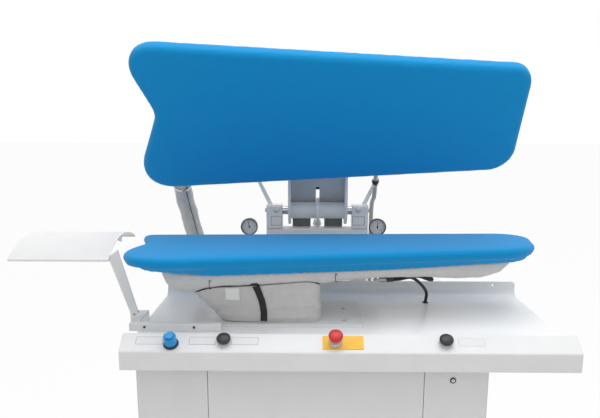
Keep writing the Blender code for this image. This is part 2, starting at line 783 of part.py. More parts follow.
def emergency_stop():
    plate_left = 0.028
    plate_right = 0.139
    plate_share = 0.68
    plate_length = SLOPE_LENGTH * plate_share
    corner = 0.002
    plate = outline([rectangle(plate_left - STOP_X, plate_right - STOP_X, -plate_length / 2,
                               plate_length / 2, corner),
                     circle(0, 0, CONTROL_BORE + GAP, 24)], STOP_PLATE_HEIGHT)
    on_console("stop_plate", plate, yellow_plate, STOP_X, STOP_SHARE, GAP + STOP_PLATE_HEIGHT / 2)
    low = STOP_PLATE_HEIGHT + 2 * GAP
    collar_radius = 0.0185
    collar_height = 0.014
    nut_depth = 0.014
    rim = 0.0025
    collar = turned([(STEM_RADIUS + RUNNING, low + collar_height),
                     (collar_radius - 2 * rim, low + collar_height),
                     (collar_radius, low + collar_height - rim), (collar_radius, low),
                     (CONTROL_BORE - GAP, low), (CONTROL_BORE - GAP, -nut_depth),
                     (STEM_RADIUS + RUNNING, -nut_depth), (STEM_RADIUS + RUNNING, low + collar_height)], 18)
    on_console("stop_collar", collar, pale_plastic, STOP_X, STOP_SHARE)
    travel = 0.007
    head_radius = 0.020
    head_low = low + collar_height + travel
    head_height = 0.018
    spindle = STEM_RADIUS * 0.5
    plunger = turned([(spindle + RUNNING, head_low - GAP), (STEM_RADIUS, head_low - GAP),
                      (STEM_RADIUS, -nut_depth),
                      (spindle + RUNNING, -nut_depth), (spindle + RUNNING, head_low - GAP)], 16)
    on_console("stop_plunger", plunger, black_plastic, STOP_X, STOP_SHARE)
    mushroom = [(0, head_low + head_height)]
    for k in range(1, 7):
        angle = math.pi / 2 * k / 6
        mushroom.append((head_radius * math.sin(angle),
                         head_low + head_height / 2 + head_height / 2 * math.cos(angle)))
    mushroom += [(head_radius * 0.92, head_low), (spindle, head_low), (spindle, -nut_depth), (0, -nut_depth)]
    on_console("stop_mushroom", turned(mushroom, 20), red_plastic, STOP_X, STOP_SHARE)


console()
pressure_knob()
push_buttons()
emergency_stop()

# Pedestal, suction duct and its cloth wrap
PEDESTAL_LEFT = 0.265
PEDESTAL_RIGHT = 0.148
PEDESTAL_FRONT = 0.150
PEDESTAL_REAR = 0.420
PEDESTAL_HEIGHT = 0.008
WRAP_THICKNESS = 0.006
CLOTH = 0.0035
CLOTH_CLEAR = 0.0008             # between a cloth wrap and the metal inside it
pedestal_top = TABLE_HEIGHT + GAP + PEDESTAL_HEIGHT

# Boat-shaped chamber under the buck: place along x, depth below the buck plate,
# y of its front and rear at the top
STATIONS = ((-0.432, 0.014, 0.170, 0.385), (-0.420, 0.048, 0.140, 0.400), (-0.400, 0.070, 0.125, 0.412),
            (-0.370, 0.081, 0.115, 0.418), (-0.335, 0.076, 0.110, 0.420), (-0.300, 0.060, 0.108, 0.422),
            (-0.265, 0.052, 0.107, 0.424), (0.030, 0.052, 0.152, 0.436), (0.080, 0.041, 0.162, 0.438),
            (0.200, 0.034, 0.183, 0.440), (0.330, 0.036, 0.206, 0.440), (0.420, 0.046, 0.222, 0.438),
            (0.500, 0.046, 0.236, 0.432), (0.560, 0.030, 0.255, 0.415), (0.592, 0.010, 0.290, 0.390))


def chamber_ring(station, grow=0.0):
    x, depth, front, rear = station
    points = []
    count = 14
    middle = (front + rear) / 2
    half = (rear - front) / 2 + grow
    drop = depth + grow
    for k in range(count + 1):
        angle = math.pi * k / count
        across = math.copysign(abs(math.cos(angle)) ** 0.45, math.cos(angle))
        points.append((x, middle - half * across, CHAMBER_TOP - drop * math.sin(angle) ** 0.6))
    return points


def chamber_loft(grow=0.0, above=0.0):
    """The chamber's solid, grown all round, and carried above its top for a cutter."""
    first = STATIONS[0]
    last = STATIONS[-1]
    stations = ((first[0] - grow, *first[1:]),) + STATIONS[1:-1] + ((last[0] + grow, *last[1:]),)
    rings = []
    for station in stations:
        ring = chamber_ring(station, grow)
        if above:
            (x, front, z), (_, rear, _) = ring[0], ring[-1]
            ring = [(x, front, z + above)] + ring + [(x, rear, z + above)]
        rings.append(ring)
    return loft(rings)


def buck_chamber():
    part("buck_chamber", chamber_loft(), cast_metal)
    wrap = part("chamber_wrap", chamber_loft(CLOTH + CLOTH_CLEAR), grey_cloth)
    cut(wrap, cutter(chamber_loft(CLOTH_CLEAR, OVERRUN)))
    opening = 0.001
    depth = CHAMBER_TOP - pedestal_top
    cut(wrap, cutter(block((-DUCT_LEFT - opening, DUCT_FRONT - opening, CHAMBER_TOP - depth),
                           (DUCT_RIGHT + opening, DUCT_REAR + opening, CHAMBER_TOP - OVERRUN))))


def pedestal():
    welded = DUCT_SHEET / 2
    loops = [rectangle(-PEDESTAL_LEFT, PEDESTAL_RIGHT, PEDESTAL_FRONT, PEDESTAL_REAR, 0.004),
             rectangle(-DUCT_LEFT + welded, DUCT_RIGHT - welded, DUCT_FRONT + welded, DUCT_REAR - welded,
                       0.003)]
    return part("duct_pedestal", flat_plate(loops, pedestal_top - PEDESTAL_HEIGHT / 2, PEDESTAL_HEIGHT),
                white_paint)


def suction_duct(foot):
    flat = STATIONS[6][1]
    low = DECK_HEIGHT - DECK_SHEET
    high = CHAMBER_TOP - flat - GAP
    wall = DUCT_SHEET
    loops = [rectangle(-DUCT_LEFT, DUCT_RIGHT, DUCT_FRONT, DUCT_REAR, 0.004),
             rectangle(-DUCT_LEFT + wall, DUCT_RIGHT - wall, DUCT_FRONT + wall, DUCT_REAR - wall, 0.002)]
    cut(foot, cutter(flat_plate(loops, (low + high) / 2, high - low)), "UNION")


def chamber_depth_at(x):
    for a, b in zip(STATIONS, STATIONS[1:]):
        if a[0] <= x <= b[0]:
            share = (x - a[0]) / (b[0] - a[0])
            return a[1] + (b[1] - a[1]) * share
    return STATIONS[0][1]


# Plan of the duct wrap at its foot and at its top: left, right, front, rear
WRAP_FOOT = (-0.262, 0.028, 0.172, 0.400)
WRAP_HEAD = (-0.345, 0.024, 0.150, 0.420)
WRAP_LEVELS = 6


def wrap_point(height_share, round_share, grow=0.0):
    """A point on the wrap's outer face; round_share runs from the rear right corner
    along the rear, the left side and the front."""
    ease = height_share ** 0.8
    left, right, front, rear = [a + (b - a) * ease for a, b in zip(WRAP_FOOT, WRAP_HEAD)]
    middle_x = (left + right) / 2
    middle_y = (front + rear) / 2
    angle = 2 * math.pi * round_share
    power = 0.30
    across = math.copysign(abs(math.cos(angle)) ** power, math.cos(angle))
    along = math.copysign(abs(math.sin(angle)) ** power, math.sin(angle))
    fold = 0.0022
    folds = 5
    ripple = fold * math.sin(math.pi * height_share) * math.sin(folds * math.pi * height_share
                                                             + 2 * math.sin(angle))
    x = middle_x + ((right - left) / 2 + ripple + grow) * across
    y = middle_y + ((rear - front) / 2 + ripple + grow) * along
    low = pedestal_top + GAP
    high = CHAMBER_TOP - chamber_depth_at(x) - CLOTH
    return (x, y, low + (high - low) * height_share)


def duct_wrap():
    around = 36
    rings = []
    for level in range(WRAP_LEVELS + 1):
        share = level / WRAP_LEVELS
        rings.append([wrap_point(share, k / around) for k in range(around)])
    bm = bmesh.new()
    bm.from_mesh(loft(rings, capped=False))
    mesh = from_bmesh(bm)
    polygon = mesh.polygons[0]
    outward = polygon.center - Vector(((WRAP_FOOT[0] + WRAP_FOOT[1]) / 2,
                                       (WRAP_FOOT[2] + WRAP_FOOT[3]) / 2, 0))
    if polygon.normal.x * outward.x + polygon.normal.y * outward.y < 0:
        mesh.flip_normals()
    wrap = part("duct_wrap", with_wall(mesh, WRAP_THICKNESS), grey_cloth)
    cut(wrap, cutter(chamber_loft(CLOTH + CLOTH_CLEAR + 2 * GAP)))


def wrap_strap():
    half_width = 0.0095
    thickness = 0.002
    clear = 0.0022
    strap_x_top = -0.176
    strap_x_foot = -0.158
    rings = []
    steps = 10
    for k in range(steps + 1):
        share = 0.06 + 0.90 * k / steps
        x = strap_x_foot + (strap_x_top - strap_x_foot) * share
        ring = []
        for dx, lift in ((-half_width, 0), (half_width, 0), (half_width, thickness),
                         (-half_width, thickness)):
            y, z = wrap_front(x + dx, share)
            ring.append((x + dx, y - clear - lift, z))
        rings.append(ring)
    part("wrap_strap", loft(rings), black_rubber)


def wrap_front(x, height_share):
    """The y and z of the wrap's front face at x."""
    best = None
    for k in range(200, 301):
        point = wrap_point(height_share, k / 400)
        if best is None or abs(point[0] - x) < abs(best[0] - x):
            best = point
    for k in range(300, 401):
        point = wrap_point(height_share, k / 400)
        if abs(point[0] - x) < abs(best[0] - x):
            best = point
    return best[1], best[2]


suction_duct(pedestal())
buck_chamber()
duct_wrap()
wrap_strap()


# Buck plate and pads
def pad_corners(inset=0.0, lead=0.0, plan=HEAD_PLAN):
    """A plan as (x, y, radius) corners, moved in by inset and forward by lead."""
    signs = (-1, 1, 1, -1, -1)
    corners = [(sign * side, PIVOT_Y - ahead - lead, radius) for (side, ahead, radius), sign in zip(plan, signs)]
    if not inset:
        return corners
    moved_in = []
    count = len(corners)
    centre = Vector((0, sum(c[1] for c in corners) / count))
    for i in range(count):
        here = Vector(corners[i][:2])
        before = Vector(corners[i - 1][:2])
        after = Vector(corners[(i + 1) % count][:2])
        lines = []
        for a, b in ((before, here), (here, after)):
            along = (b - a).normalized()
            normal = Vector((along.y, -along.x))
            lines.append((a + normal * inset, along))
        (p, d), (q, e) = lines
        t = ((q - p).x * e.y - (q - p).y * e.x) / (d.x * e.y - d.y * e.x)
        spot = p + d * t
        concave = (here - before).cross(after - here) > 0
        radius = corners[i][2] + inset if concave else max(corners[i][2] - inset, PAD_ROUNDING / 2)
        moved_in.append((spot.x, spot.y, radius))
    return moved_in


def edged_solid(shares, thickness, low):
    """The buck's plan as a solid whose edge follows shares of its thickness."""
    rings = []
    for inset, rise in shares:
        ring = rounded(pad_corners(inset * thickness, 0, BUCK_PLAN), 6)
        rings.append([(x, y, low + rise * thickness) for x, y in ring])
    return loft(rings)


def buck():
    plate = edged_solid(PLATE_EDGE_SHARES, PLATE_THICKNESS, PLATE_TOP - PLATE_THICKNESS)
    part("buck_plate", plate, cast_metal)
    pad = edged_solid(PAD_EDGE_SHARES, PAD_THICKNESS, WORK_HEIGHT - PAD_THICKNESS)
    part("buck_pad", pad, blue_cloth)


buck()


# Rear frame
def rear_frame():
    column_low = DECK_HEIGHT + GAP
    column_high = BEAM_TOP - BEAM_HEIGHT - GAP
    wall = 0.004
    for side, left in (("left", -BEAM_LEFT), ("right", BEAM_RIGHT - COLUMN_WIDTH)):
        loops = [rectangle(left, left + COLUMN_WIDTH, COLUMN_Y[0], COLUMN_Y[1], 0.006),
                 rectangle(left + wall, left + COLUMN_WIDTH - wall, COLUMN_Y[0] + wall,
                           COLUMN_Y[1] - wall, 0.003)]
        column = flat_plate(loops, (column_low + column_high) / 2, column_high - column_low)
        part("column_" + side, column, white_paint)
    loops = [rectangle(COLUMN_Y[0], COLUMN_Y[1], BEAM_TOP - BEAM_HEIGHT, BEAM_TOP, 0.006),
             rectangle(COLUMN_Y[0] + wall, COLUMN_Y[1] - wall, BEAM_TOP - BEAM_HEIGHT + wall,
                       BEAM_TOP - wall, 0.003)]
    part("cross_beam", side_plate(loops, (BEAM_RIGHT - BEAM_LEFT) / 2, BEAM_LEFT + BEAM_RIGHT), white_paint)


def bearing_housings():
    made = []
    low = BEAM_TOP + GAP
    high = PIVOT_HEIGHT + HOUSING_RISE
    for side, left in (("left", -BEAM_LEFT + GAP), ("right", BEAM_RIGHT - HOUSING_WIDTH - GAP)):
        body = block((left, PIVOT_Y - HOUSING_DEPTH / 2, low),
                     (left + HOUSING_WIDTH, PIVOT_Y + HOUSING_DEPTH / 2, high), 0.003)
        obj = part("bearing_housing_" + side, body, white_paint)
        bore = round_bar(SHAFT_RADIUS + RUNNING, (left - OVERRUN, PIVOT_Y, PIVOT_HEIGHT),
                         (left + HOUSING_WIDTH + OVERRUN, PIVOT_Y, PIVOT_HEIGHT), 40)
        cut(obj, cutter(bore))
        made.append(obj)
    return made


def hose_brackets(housings):
    sheet_thickness = 0.003
    foot = PIVOT_HEIGHT + HOUSING_RISE - GAP
    height = 0.095
    bar_width = 0.016
    lean = 0.038
    lip = 0.006
    half_depth = HOUSING_DEPTH / 2 - lip
    sides = ((-BEAM_LEFT + HOUSING_WIDTH, -BEAM_LEFT), (BEAM_RIGHT - HOUSING_WIDTH, BEAM_RIGHT))
    for obj, (inner, outer) in zip(housings, sides):
        sign = 1 if outer > inner else -1
        lid = block((min(inner, outer), PIVOT_Y - half_depth, foot),
                    (max(inner, outer), PIVOT_Y + half_depth, foot + sheet_thickness), 0.0008)
        cut(obj, cutter(lid), "UNION")
        root = outer - sign * lip
        top = outer + sign * lean
        loop = [(root - sign * bar_width, foot + sheet_thickness / 2), (root, foot + sheet_thickness / 2),
                (top, foot + height), (top - sign * bar_width * 0.8, foot + height)]
        if sign < 0:
            loop.reverse()
        bar = front_plate([loop], PIVOT_Y, sheet_thickness * 1.5)
        cut(obj, cutter(bar), "UNION")


rear_frame()
hose_brackets(bearing_housings())


# Everything on the head is drawn with the head closed, from the pivot: y forward is
# negative, z up; the head_pivot empty turns it open.
def closed_outline(inset):
    """The pad's plan for the head, from the pivot, moved in by inset."""
    return [(x, y - PIVOT_Y, r) for x, y, r in pad_corners(inset, HEAD_LEAD)]


SADDLE_NEAR = 0.200             # front of pivot
SADDLE_FAR = 0.440
SADDLE_THICKNESS = 0.010
HUB_RADIUS = 0.046
SADDLE_LOW = HEAD_COVER + COVER_HEIGHT + GAP
SADDLE_TOP = SADDLE_LOW + SADDLE_THICKNESS


def head_pad_and_plates():
    pad = outline([rounded(closed_outline(0), 6)], PAD_THICKNESS)
    pad = moved(pad, Matrix.Translation((0, 0, HEAD_FACE + PAD_THICKNESS / 2)))
    part("head_pad", with_bevel(pad, PAD_ROUNDING, 2, math.radians(60)), blue_cloth, parent=head)
    platen = flat_plate([rounded(closed_outline(PLATE_INSET), 6)], HEAD_PLATE + PLATE_THICKNESS / 2,
                        PLATE_THICKNESS)
    part("head_platen", platen, cast_metal, parent=head)


def head_cover():
    edge = 0.008
    flat = outline([rounded(closed_outline(COVER_INSET), 5)], COVER_HEIGHT)
    flat = moved(flat, Matrix.Translation((0, 0, HEAD_COVER + COVER_HEIGHT / 2)))
    bm = bmesh.new()
    bm.from_mesh(flat)
    bmesh.ops.dissolve_limit(bm, angle_limit=math.radians(1), verts=bm.verts, edges=bm.edges)
    floor = [f for f in bm.faces if f.normal.z < -0.9]
    bmesh.ops.delete(bm, geom=floor, context="FACES")
    mesh = bpy.data.meshes.new("cover")
    bm.to_mesh(mesh)
    bm.free()
    mesh = with_bevel(mesh, edge, 2, math.radians(60))
    part("head_cover", with_wall(mesh, COVER_SHEET), white_paint, parent=head)


def head_saddle():
    side = 0.030
    loops = [rectangle(-ARM_LEFT - side, ARM_RIGHT + side, -SADDLE_FAR, -SADDLE_NEAR, 0.012)]
    part("head_saddle", flat_plate(loops, SADDLE_LOW + SADDLE_THICKNESS / 2, SADDLE_THICKNESS),
         grey_paint, parent=head)


WEB_HEIGHT = 0.036
WEB_SHEET = 0.003
WEB_TAIL = 0.052
WEB_NEAR = 0.150
WEB_SLIT = 0.012


def head_arms():
    root_rise = 0.046
    throat = 0.160              # in front of this the arm has to clear the head's rear edge
    low = SADDLE_TOP + GAP
    shoulder_rise = 0.105
    tip_rise = 0.085
    tail = 0.052
    loop = rounded([(-throat, low, 0.030), (-SADDLE_FAR, low, 0), (-SADDLE_FAR, tip_rise, 0.020),
                    (-SADDLE_NEAR, shoulder_rise, 0.050), (tail, root_rise, 0.020),
                    (tail, -HUB_RADIUS * 0.4, 0.024),
                    (0, -HUB_RADIUS * 1.05, 0.030), (-HUB_RADIUS, -HUB_RADIUS * 0.8, 0.020)], 5)
    middle = -(SADDLE_NEAR + SADDLE_FAR) / 2
    lightening = circle(middle, (low + tip_rise) / 2 + GAP, (tip_rise - low) / 5, 20)
    left = side_plate([loop, lightening], -ARM_LEFT + ARM_PLATE / 2, ARM_PLATE)
    right = side_plate([loop, lightening], ARM_RIGHT - ARM_PLATE / 2, ARM_PLATE)
    arm = part("head_arm", left, white_paint, parent=head)
    cut(arm, cutter(right, head), "UNION")
    welded = ARM_PLATE / 3
    ends = ((-ARM_LEFT + welded, 0, 0), (ARM_RIGHT - welded, 0, 0))
    cut(arm, cutter(round_bar(TUBE_RADIUS, *ends, 40), head), "UNION")
    cut(arm, cutter(arm_web(welded), head), "UNION")
    cut(arm, cutter(closing_lever(), head), "UNION")
    bore = round_bar(SHAFT_RADIUS + RUNNING, (-ARM_LEFT - OVERRUN, 0, 0), (ARM_RIGHT + OVERRUN, 0, 0), 40)
    cut(arm, cutter(bore, head))


def pivot_shaft():
    short = 0.004
    shaft = round_bar(SHAFT_RADIUS, (-BEAM_LEFT + short, 0, 0), (BEAM_RIGHT - short, 0, 0), 40)
    part("pivot_shaft", shaft, steel, parent=head)


def arm_web(welded):
    left = -ARM_LEFT + welded
    right = ARM_RIGHT - welded
    slit_end = WEB_NEAR * 0.5
    loop = [(left, WEB_TAIL), (left, -WEB_NEAR), (right, -WEB_NEAR), (right, WEB_TAIL),
            (ARM_MIDDLE + WEB_SLIT / 2, WEB_TAIL), (ARM_MIDDLE + WEB_SLIT / 2, -slit_end),
            (ARM_MIDDLE - WEB_SLIT / 2, -slit_end), (ARM_MIDDLE - WEB_SLIT / 2, WEB_TAIL)]
    return flat_plate([loop], WEB_HEIGHT + WEB_SHEET / 2, WEB_SHEET)


def closing_lever():
    """Drawn along +y from the pivot, then tilted up to the rear."""
    hub = TUBE_RADIUS + 0.014
    pin_room = 0.0015
    lift_room = 0.003
    far = LEVER_REACH / math.cos(LEVER_TILT)
    near = LEVER_REACH
    slot_length = far - near + 2 * (PIN_RADIUS + pin_room)
    slot_width = 2 * (PIN_RADIUS + lift_room)
    middle = (near + far) / 2
    tip = middle + slot_length / 2 + 0.010
    half_tip = slot_width / 2 + 0.010
    loop = rounded([(-hub, -hub, hub * 0.95), (hub * 0.6, -hub, hub * 0.5), (tip, -half_tip, half_tip * 0.9),
                    (tip, half_tip, half_tip * 0.9), (hub * 0.6, hub, hub * 0.5),
                    (-hub, hub, hub * 0.95)], 5)
    eye = slot(middle, 0, slot_length, slot_width, 6)
    plate = outline([loop, eye], LEVER_PLATE)
    tilt = Matrix.Rotation(LEVER_TILT, 4, "X")
    return moved(plate, Matrix.Translation((ARM_MIDDLE, 0, 0)) @ tilt @ UPRIGHT)


head_pad_and_plates()
head_cover()
head_saddle()
head_arms()
pivot_shaft()

# Air cylinder: stands upright behind the pivot and lifts the lever to close the head
PIN_DROP = LEVER_REACH * math.tan(LEVER_TILT)       # pin below the pivot when open
PIN_HEIGHT = PIVOT_HEIGHT - PIN_DROP
ROD_TRAVEL = 2 * PIN_DROP
BRACKET_THICKNESS = 0.010
CLEVIS_DROP = 0.050                                 # foot of the clevis below its pin
GLAND_HEIGHT = 0.012
BRACKET_TOP = PIN_HEIGHT - CLEVIS_DROP - GLAND_HEIGHT - 0.006


def cylinder_bracket():
    rear = 0.052
    left = -BEAM_LEFT + COLUMN_WIDTH + GAP
    right = BEAM_RIGHT - COLUMN_WIDTH - GAP
    front = PIVOT_Y - BEAM_DEPTH / 4
    loops = [rectangle(left, right, front, CYLINDER_Y + rear, 0.008),
             circle(ARM_MIDDLE, CYLINDER_Y, ROD_RADIUS * 1.8 + GAP, 32)]
    part("cylinder_bracket", flat_plate(loops, BRACKET_TOP - BRACKET_THICKNESS / 2, BRACKET_THICKNESS),
         white_paint)


def air_cylinder():
    cap = 0.022
    boss = ROD_RADIUS * 1.8
    top = BRACKET_TOP - BRACKET_THICKNESS - GAP
    low = top - CYLINDER_LENGTH
    tube_inset = 0.004
    wall = 0.004
    piston = 0.020
    rod_bore = ROD_RADIUS + RUNNING
    bore = CYLINDER_RADIUS - tube_inset - wall
    profile = [(rod_bore, BRACKET_TOP + GLAND_HEIGHT), (boss, BRACKET_TOP + GLAND_HEIGHT), (boss, top),
               (CYLINDER_RADIUS, top), (CYLINDER_RADIUS, top - cap),
               (CYLINDER_RADIUS - tube_inset, top - cap), (CYLINDER_RADIUS - tube_inset, low + cap),
               (CYLINDER_RADIUS, low + cap), (CYLINDER_RADIUS, low), (PIN_RADIUS, low),
               (PIN_RADIUS, low + cap),
               (bore, low + cap), (bore, top - cap), (rod_bore, top - cap),
               (rod_bore, BRACKET_TOP + GLAND_HEIGHT)]
    part("cylinder_barrel", turned(profile, 22), steel, (ARM_MIDDLE, CYLINDER_Y, 0))
    rod_low = low + cap + piston + 0.006
    piston_low = rod_low - piston
    rod_top = PIN_HEIGHT - CLEVIS_DROP - GAP
    profile = [(0, rod_top), (ROD_RADIUS, rod_top), (ROD_RADIUS, rod_low), (bore - RUNNING, rod_low),
               (bore - RUNNING, piston_low), (0, piston_low)]
    part("piston_rod", turned(profile, 22), steel, (ARM_MIDDLE, CYLINDER_Y, 0))


def rod_clevis():
    side_room = 0.001
    ear = 0.0065
    half = LEVER_PLATE / 2 + side_room + ear
    crown = PIN_RADIUS + 0.007
    foot = -CLEVIS_DROP
    floor_sheet = 0.0055
    floor = -CLEVIS_DROP + floor_sheet
    depth = 2 * crown
    body = block((-half, -depth / 2, foot), (half, depth / 2, crown), 0.002)
    obj = part("rod_clevis", body, steel, (ARM_MIDDLE, CYLINDER_Y, PIN_HEIGHT))
    gap_half = LEVER_PLATE / 2 + side_room
    cut(obj, cutter(block((-gap_half, -depth, floor), (gap_half, depth, crown + OVERRUN)), obj))
    pin_over = 0.003
    pin = round_bar(PIN_RADIUS, (-half - pin_over, 0, 0), (half + pin_over, 0, 0), 24)
    cut(obj, cutter(pin, obj), "UNION")


cylinder_bracket()
air_cylinder()
rod_clevis()


# Side tray: an arched sheet on ribs at the end of a flat arm that swings out and down
ARM_Y = 0.240
ARM_BAR = 0.005
ARM_WIDTH = 0.024
BOLT_X = -0.532
BOLT_DROP = 0.0235               # bolt below the worktable
BOLT_HEIGHT = TABLE_HEIGHT - BOLT_DROP
BOLT_RADIUS = 0.005
BRACKET_SHEET = 0.004
RAIL_Y = 0.105
RAIL_RISE = 0.022
BEND_HEIGHT = BOLT_HEIGHT + 0.032
ARM_TOP_X = -0.583
ARM_CLEAR = 0.004                # from the arm's bar up to the tray's sheet
ARM_POINT_RISE = 0.016           # the bar's corner outside the tray
ARCH_CHORD = math.hypot(TRAY_DEPTH, TRAY_TILT)
ARCH_RADIUS = ARCH_CHORD ** 2 / (8 * TRAY_CROWN) + TRAY_CROWN / 2
ARCH_SLOPE = math.atan2(TRAY_TILT, TRAY_DEPTH)
ARCH_DROP = ARCH_RADIUS - TRAY_CROWN
ARCH_Y = TRAY_FRONT + TRAY_DEPTH / 2 + ARCH_DROP * math.sin(ARCH_SLOPE)
ARCH_HEIGHT = TRAY_EDGE_HEIGHT + TRAY_TILT / 2 - ARCH_DROP * math.cos(ARCH_SLOPE)
ARCH_HALF_ANGLE = math.asin(ARCH_CHORD / 2 / ARCH_RADIUS)
ARM_TOP_HEIGHT = ARCH_HEIGHT + math.sqrt(ARCH_RADIUS ** 2 - (ARM_Y - ARCH_Y) ** 2) - ARM_CLEAR - TRAY_SHEET


def arch(radius, steps, share=1.0):
    points = []
    for k in range(steps + 1):
        angle = ARCH_HALF_ANGLE * share * (2 * k / steps - 1) - ARCH_SLOPE
        points.append((ARCH_Y + radius * math.sin(angle), ARCH_HEIGHT + radius * math.cos(angle)))
    return points


def side_tray():
    hem = 0.0055
    edge = arch(ARCH_RADIUS, 18)
    profile = [(edge[0][0], edge[0][1] - hem)] + edge + [(edge[-1][0], edge[-1][1] - hem)]
    mesh = sheet(profile, -TRAY_LEFT, -TRAY_RIGHT)
    if sum(p.normal.z for p in mesh.polygons) < 0:
        mesh.flip_normals()
    part("side_tray", with_wall(mesh, TRAY_SHEET), white_paint)


def side_tray_arm():
    half = ARM_WIDTH / 2
    rib_depth = 0.026
    rib_plate = 0.004
    rib_inset = 0.040
    rib_share = 0.86
    crook = 0.020
    loop = rounded([(BOLT_X - half, BOLT_HEIGHT - half, half * 0.9),
                    (BOLT_X + half, BOLT_HEIGHT - half, half * 0.9),
                    (BOLT_X + half, BEND_HEIGHT, crook),
                    (ARM_TOP_X + half * 0.7, ARM_TOP_HEIGHT + ARM_POINT_RISE, 0),
                    (ARM_TOP_X - half, ARM_TOP_HEIGHT, 0),
                    (-TRAY_LEFT + rib_inset, ARM_TOP_HEIGHT, 0),
                    (-TRAY_LEFT + rib_inset, ARM_TOP_HEIGHT - half * 1.4, 0),
                    (ARM_TOP_X - half * 1.4, ARM_TOP_HEIGHT - half * 1.4, 0.008),
                    (BOLT_X - half, BEND_HEIGHT, crook)], 4)
    hole = circle(BOLT_X - half / 6, BEND_HEIGHT + half / 5, half / 3, 16)
    bar = front_plate([loop, hole], ARM_Y, ARM_BAR)
    obj = part("side_tray_arm", bar, white_paint)
    radius = ARCH_RADIUS - TRAY_SHEET - GAP
    top = arch(radius, 10, rib_share)
    low = arch(radius - rib_depth, 10, rib_share)
    for x in (-TRAY_LEFT + rib_inset, -TRAY_RIGHT - rib_inset):
        cut(obj, cutter(side_plate([top + low[::-1]], x, rib_plate)), "UNION")
    head_radius = 0.0085
    head_height = 0.005
    nut_y = ARM_Y + ARM_BAR / 2 + GAP + BRACKET_SHEET + GAP
    front = ARM_Y - ARM_BAR / 2
    profile = [(0, head_height), (head_radius, head_height), (head_radius, -GAP), (BOLT_RADIUS, -GAP),
               (BOLT_RADIUS, front - nut_y), (head_radius, front - nut_y),
               (head_radius, front - nut_y - head_height),
               (0, front - nut_y - head_height)]
    bolt = cutter(turned(profile, 16), frame, (BOLT_X, front, BOLT_HEIGHT), (math.pi / 2, 0, 0))
    cut(obj, bolt, "UNION")


def tray_rail():
    """The rail on the worktable and, past the table's left edge, the plate the arm turns on."""
    right = -0.257
    left = -0.530
    half_plate = 0.016
    below_bolt = 0.014
    window = 0.020                  # room for the arm in front of its plate
    plate_left = BOLT_X - half_plate
    plate_right = -TABLE_LEFT - GAP * 2
    sheet_thickness = 0.003
    shelf = 0.022
    fold = 0.0008
    low = TABLE_HEIGHT + GAP
    high = low + RAIL_RISE
    rail = block((left, RAIL_Y, low), (right, RAIL_Y + sheet_thickness, high), fold)
    obj = part("tray_rail", rail, white_paint)
    top = block((left, RAIL_Y + sheet_thickness / 2, high - sheet_thickness),
                (right, RAIL_Y + shelf, high), fold)
    cut(obj, cutter(top), "UNION")
    rear = ARM_Y + ARM_BAR / 2 + GAP
    runner = block((plate_left, RAIL_Y + shelf / 2, high - sheet_thickness * 1.2),
                   (plate_right, rear + BRACKET_SHEET, high - sheet_thickness * 0.2), fold * 0.75)
    arm_window = block((plate_left - OVERRUN, ARM_Y - window, low),
                       (BOLT_X + half_plate, rear, high + OVERRUN))
    cut(obj, cutter(runner), "UNION")
    cut(obj, cutter(arm_window))
    loops = [rectangle(plate_left, plate_right, BOLT_HEIGHT - below_bolt, high - sheet_thickness / 2,
                       sheet_thickness),
             circle(BOLT_X, BOLT_HEIGHT, BOLT_RADIUS + RUNNING, 16)]
    cut(obj, cutter(front_plate(loops, rear + BRACKET_SHEET / 2, BRACKET_SHEET)), "UNION")


side_tray()
side_tray_arm()
tray_rail()


# Gauges on their pipes
GAUGE_DEPTH = 0.028
GAUGE_RECESS = 0.008
GAUGE_RIM = 0.0035
NEEDLE_BORE = 0.0016
NEEDLE_TURN = (math.radians(14), 0)


def gauges():
    back = 0.003
    pipe_foot = DECK_TOP_FITTING - (PIVOT_HEIGHT - GAUGE_DROP)
    floor = GAUGE_DEPTH - GAUGE_RECESS
    for side, x, turn in (("left", -GAUGE_LEFT, NEEDLE_TURN[0]), ("right", GAUGE_RIGHT, NEEDLE_TURN[1])):
        inner = GAUGE_RADIUS - GAUGE_RIM
        case = turned([(NEEDLE_BORE, floor), (inner, floor), (inner, GAUGE_DEPTH),
                       (GAUGE_RADIUS - back / 3, GAUGE_DEPTH),
                       (GAUGE_RADIUS, GAUGE_DEPTH - back / 3), (GAUGE_RADIUS, GAUGE_DEPTH - 2 * back),
                       (GAUGE_RADIUS - back / 2, GAUGE_DEPTH - 2 * back), (GAUGE_RADIUS - back / 2, back),
                       (GAUGE_RADIUS - back, 0), (0, 0), (0, floor / 2), (NEEDLE_BORE, floor / 2),
                       (NEEDLE_BORE, floor)], 24)
        place = (x, GAUGE_Y + GAUGE_DEPTH / 2, PIVOT_HEIGHT - GAUGE_DROP)
        facing = (math.pi / 2, 0, 0)
        obj = part("gauge_" + side, case, black_plastic, place, facing)
        pipe = round_bar(GAUGE_PIPE_RADIUS, (0, -GAUGE_RADIUS + 2 * back, GAUGE_DEPTH / 2 - back),
                         (0, pipe_foot, GAUGE_DEPTH / 2 - back), 14)
        cut(obj, cutter(pipe, obj), "UNION")
        nut = round_bar(GAUGE_PIPE_RADIUS * 1.6, (0, -GAUGE_RADIUS - back, GAUGE_DEPTH / 2 - back),
                        (0, -GAUGE_RADIUS - 5 * back, GAUGE_DEPTH / 2 - back), 6)
        cut(obj, cutter(nut, obj), "UNION")
        needle(side, place, turn, floor)


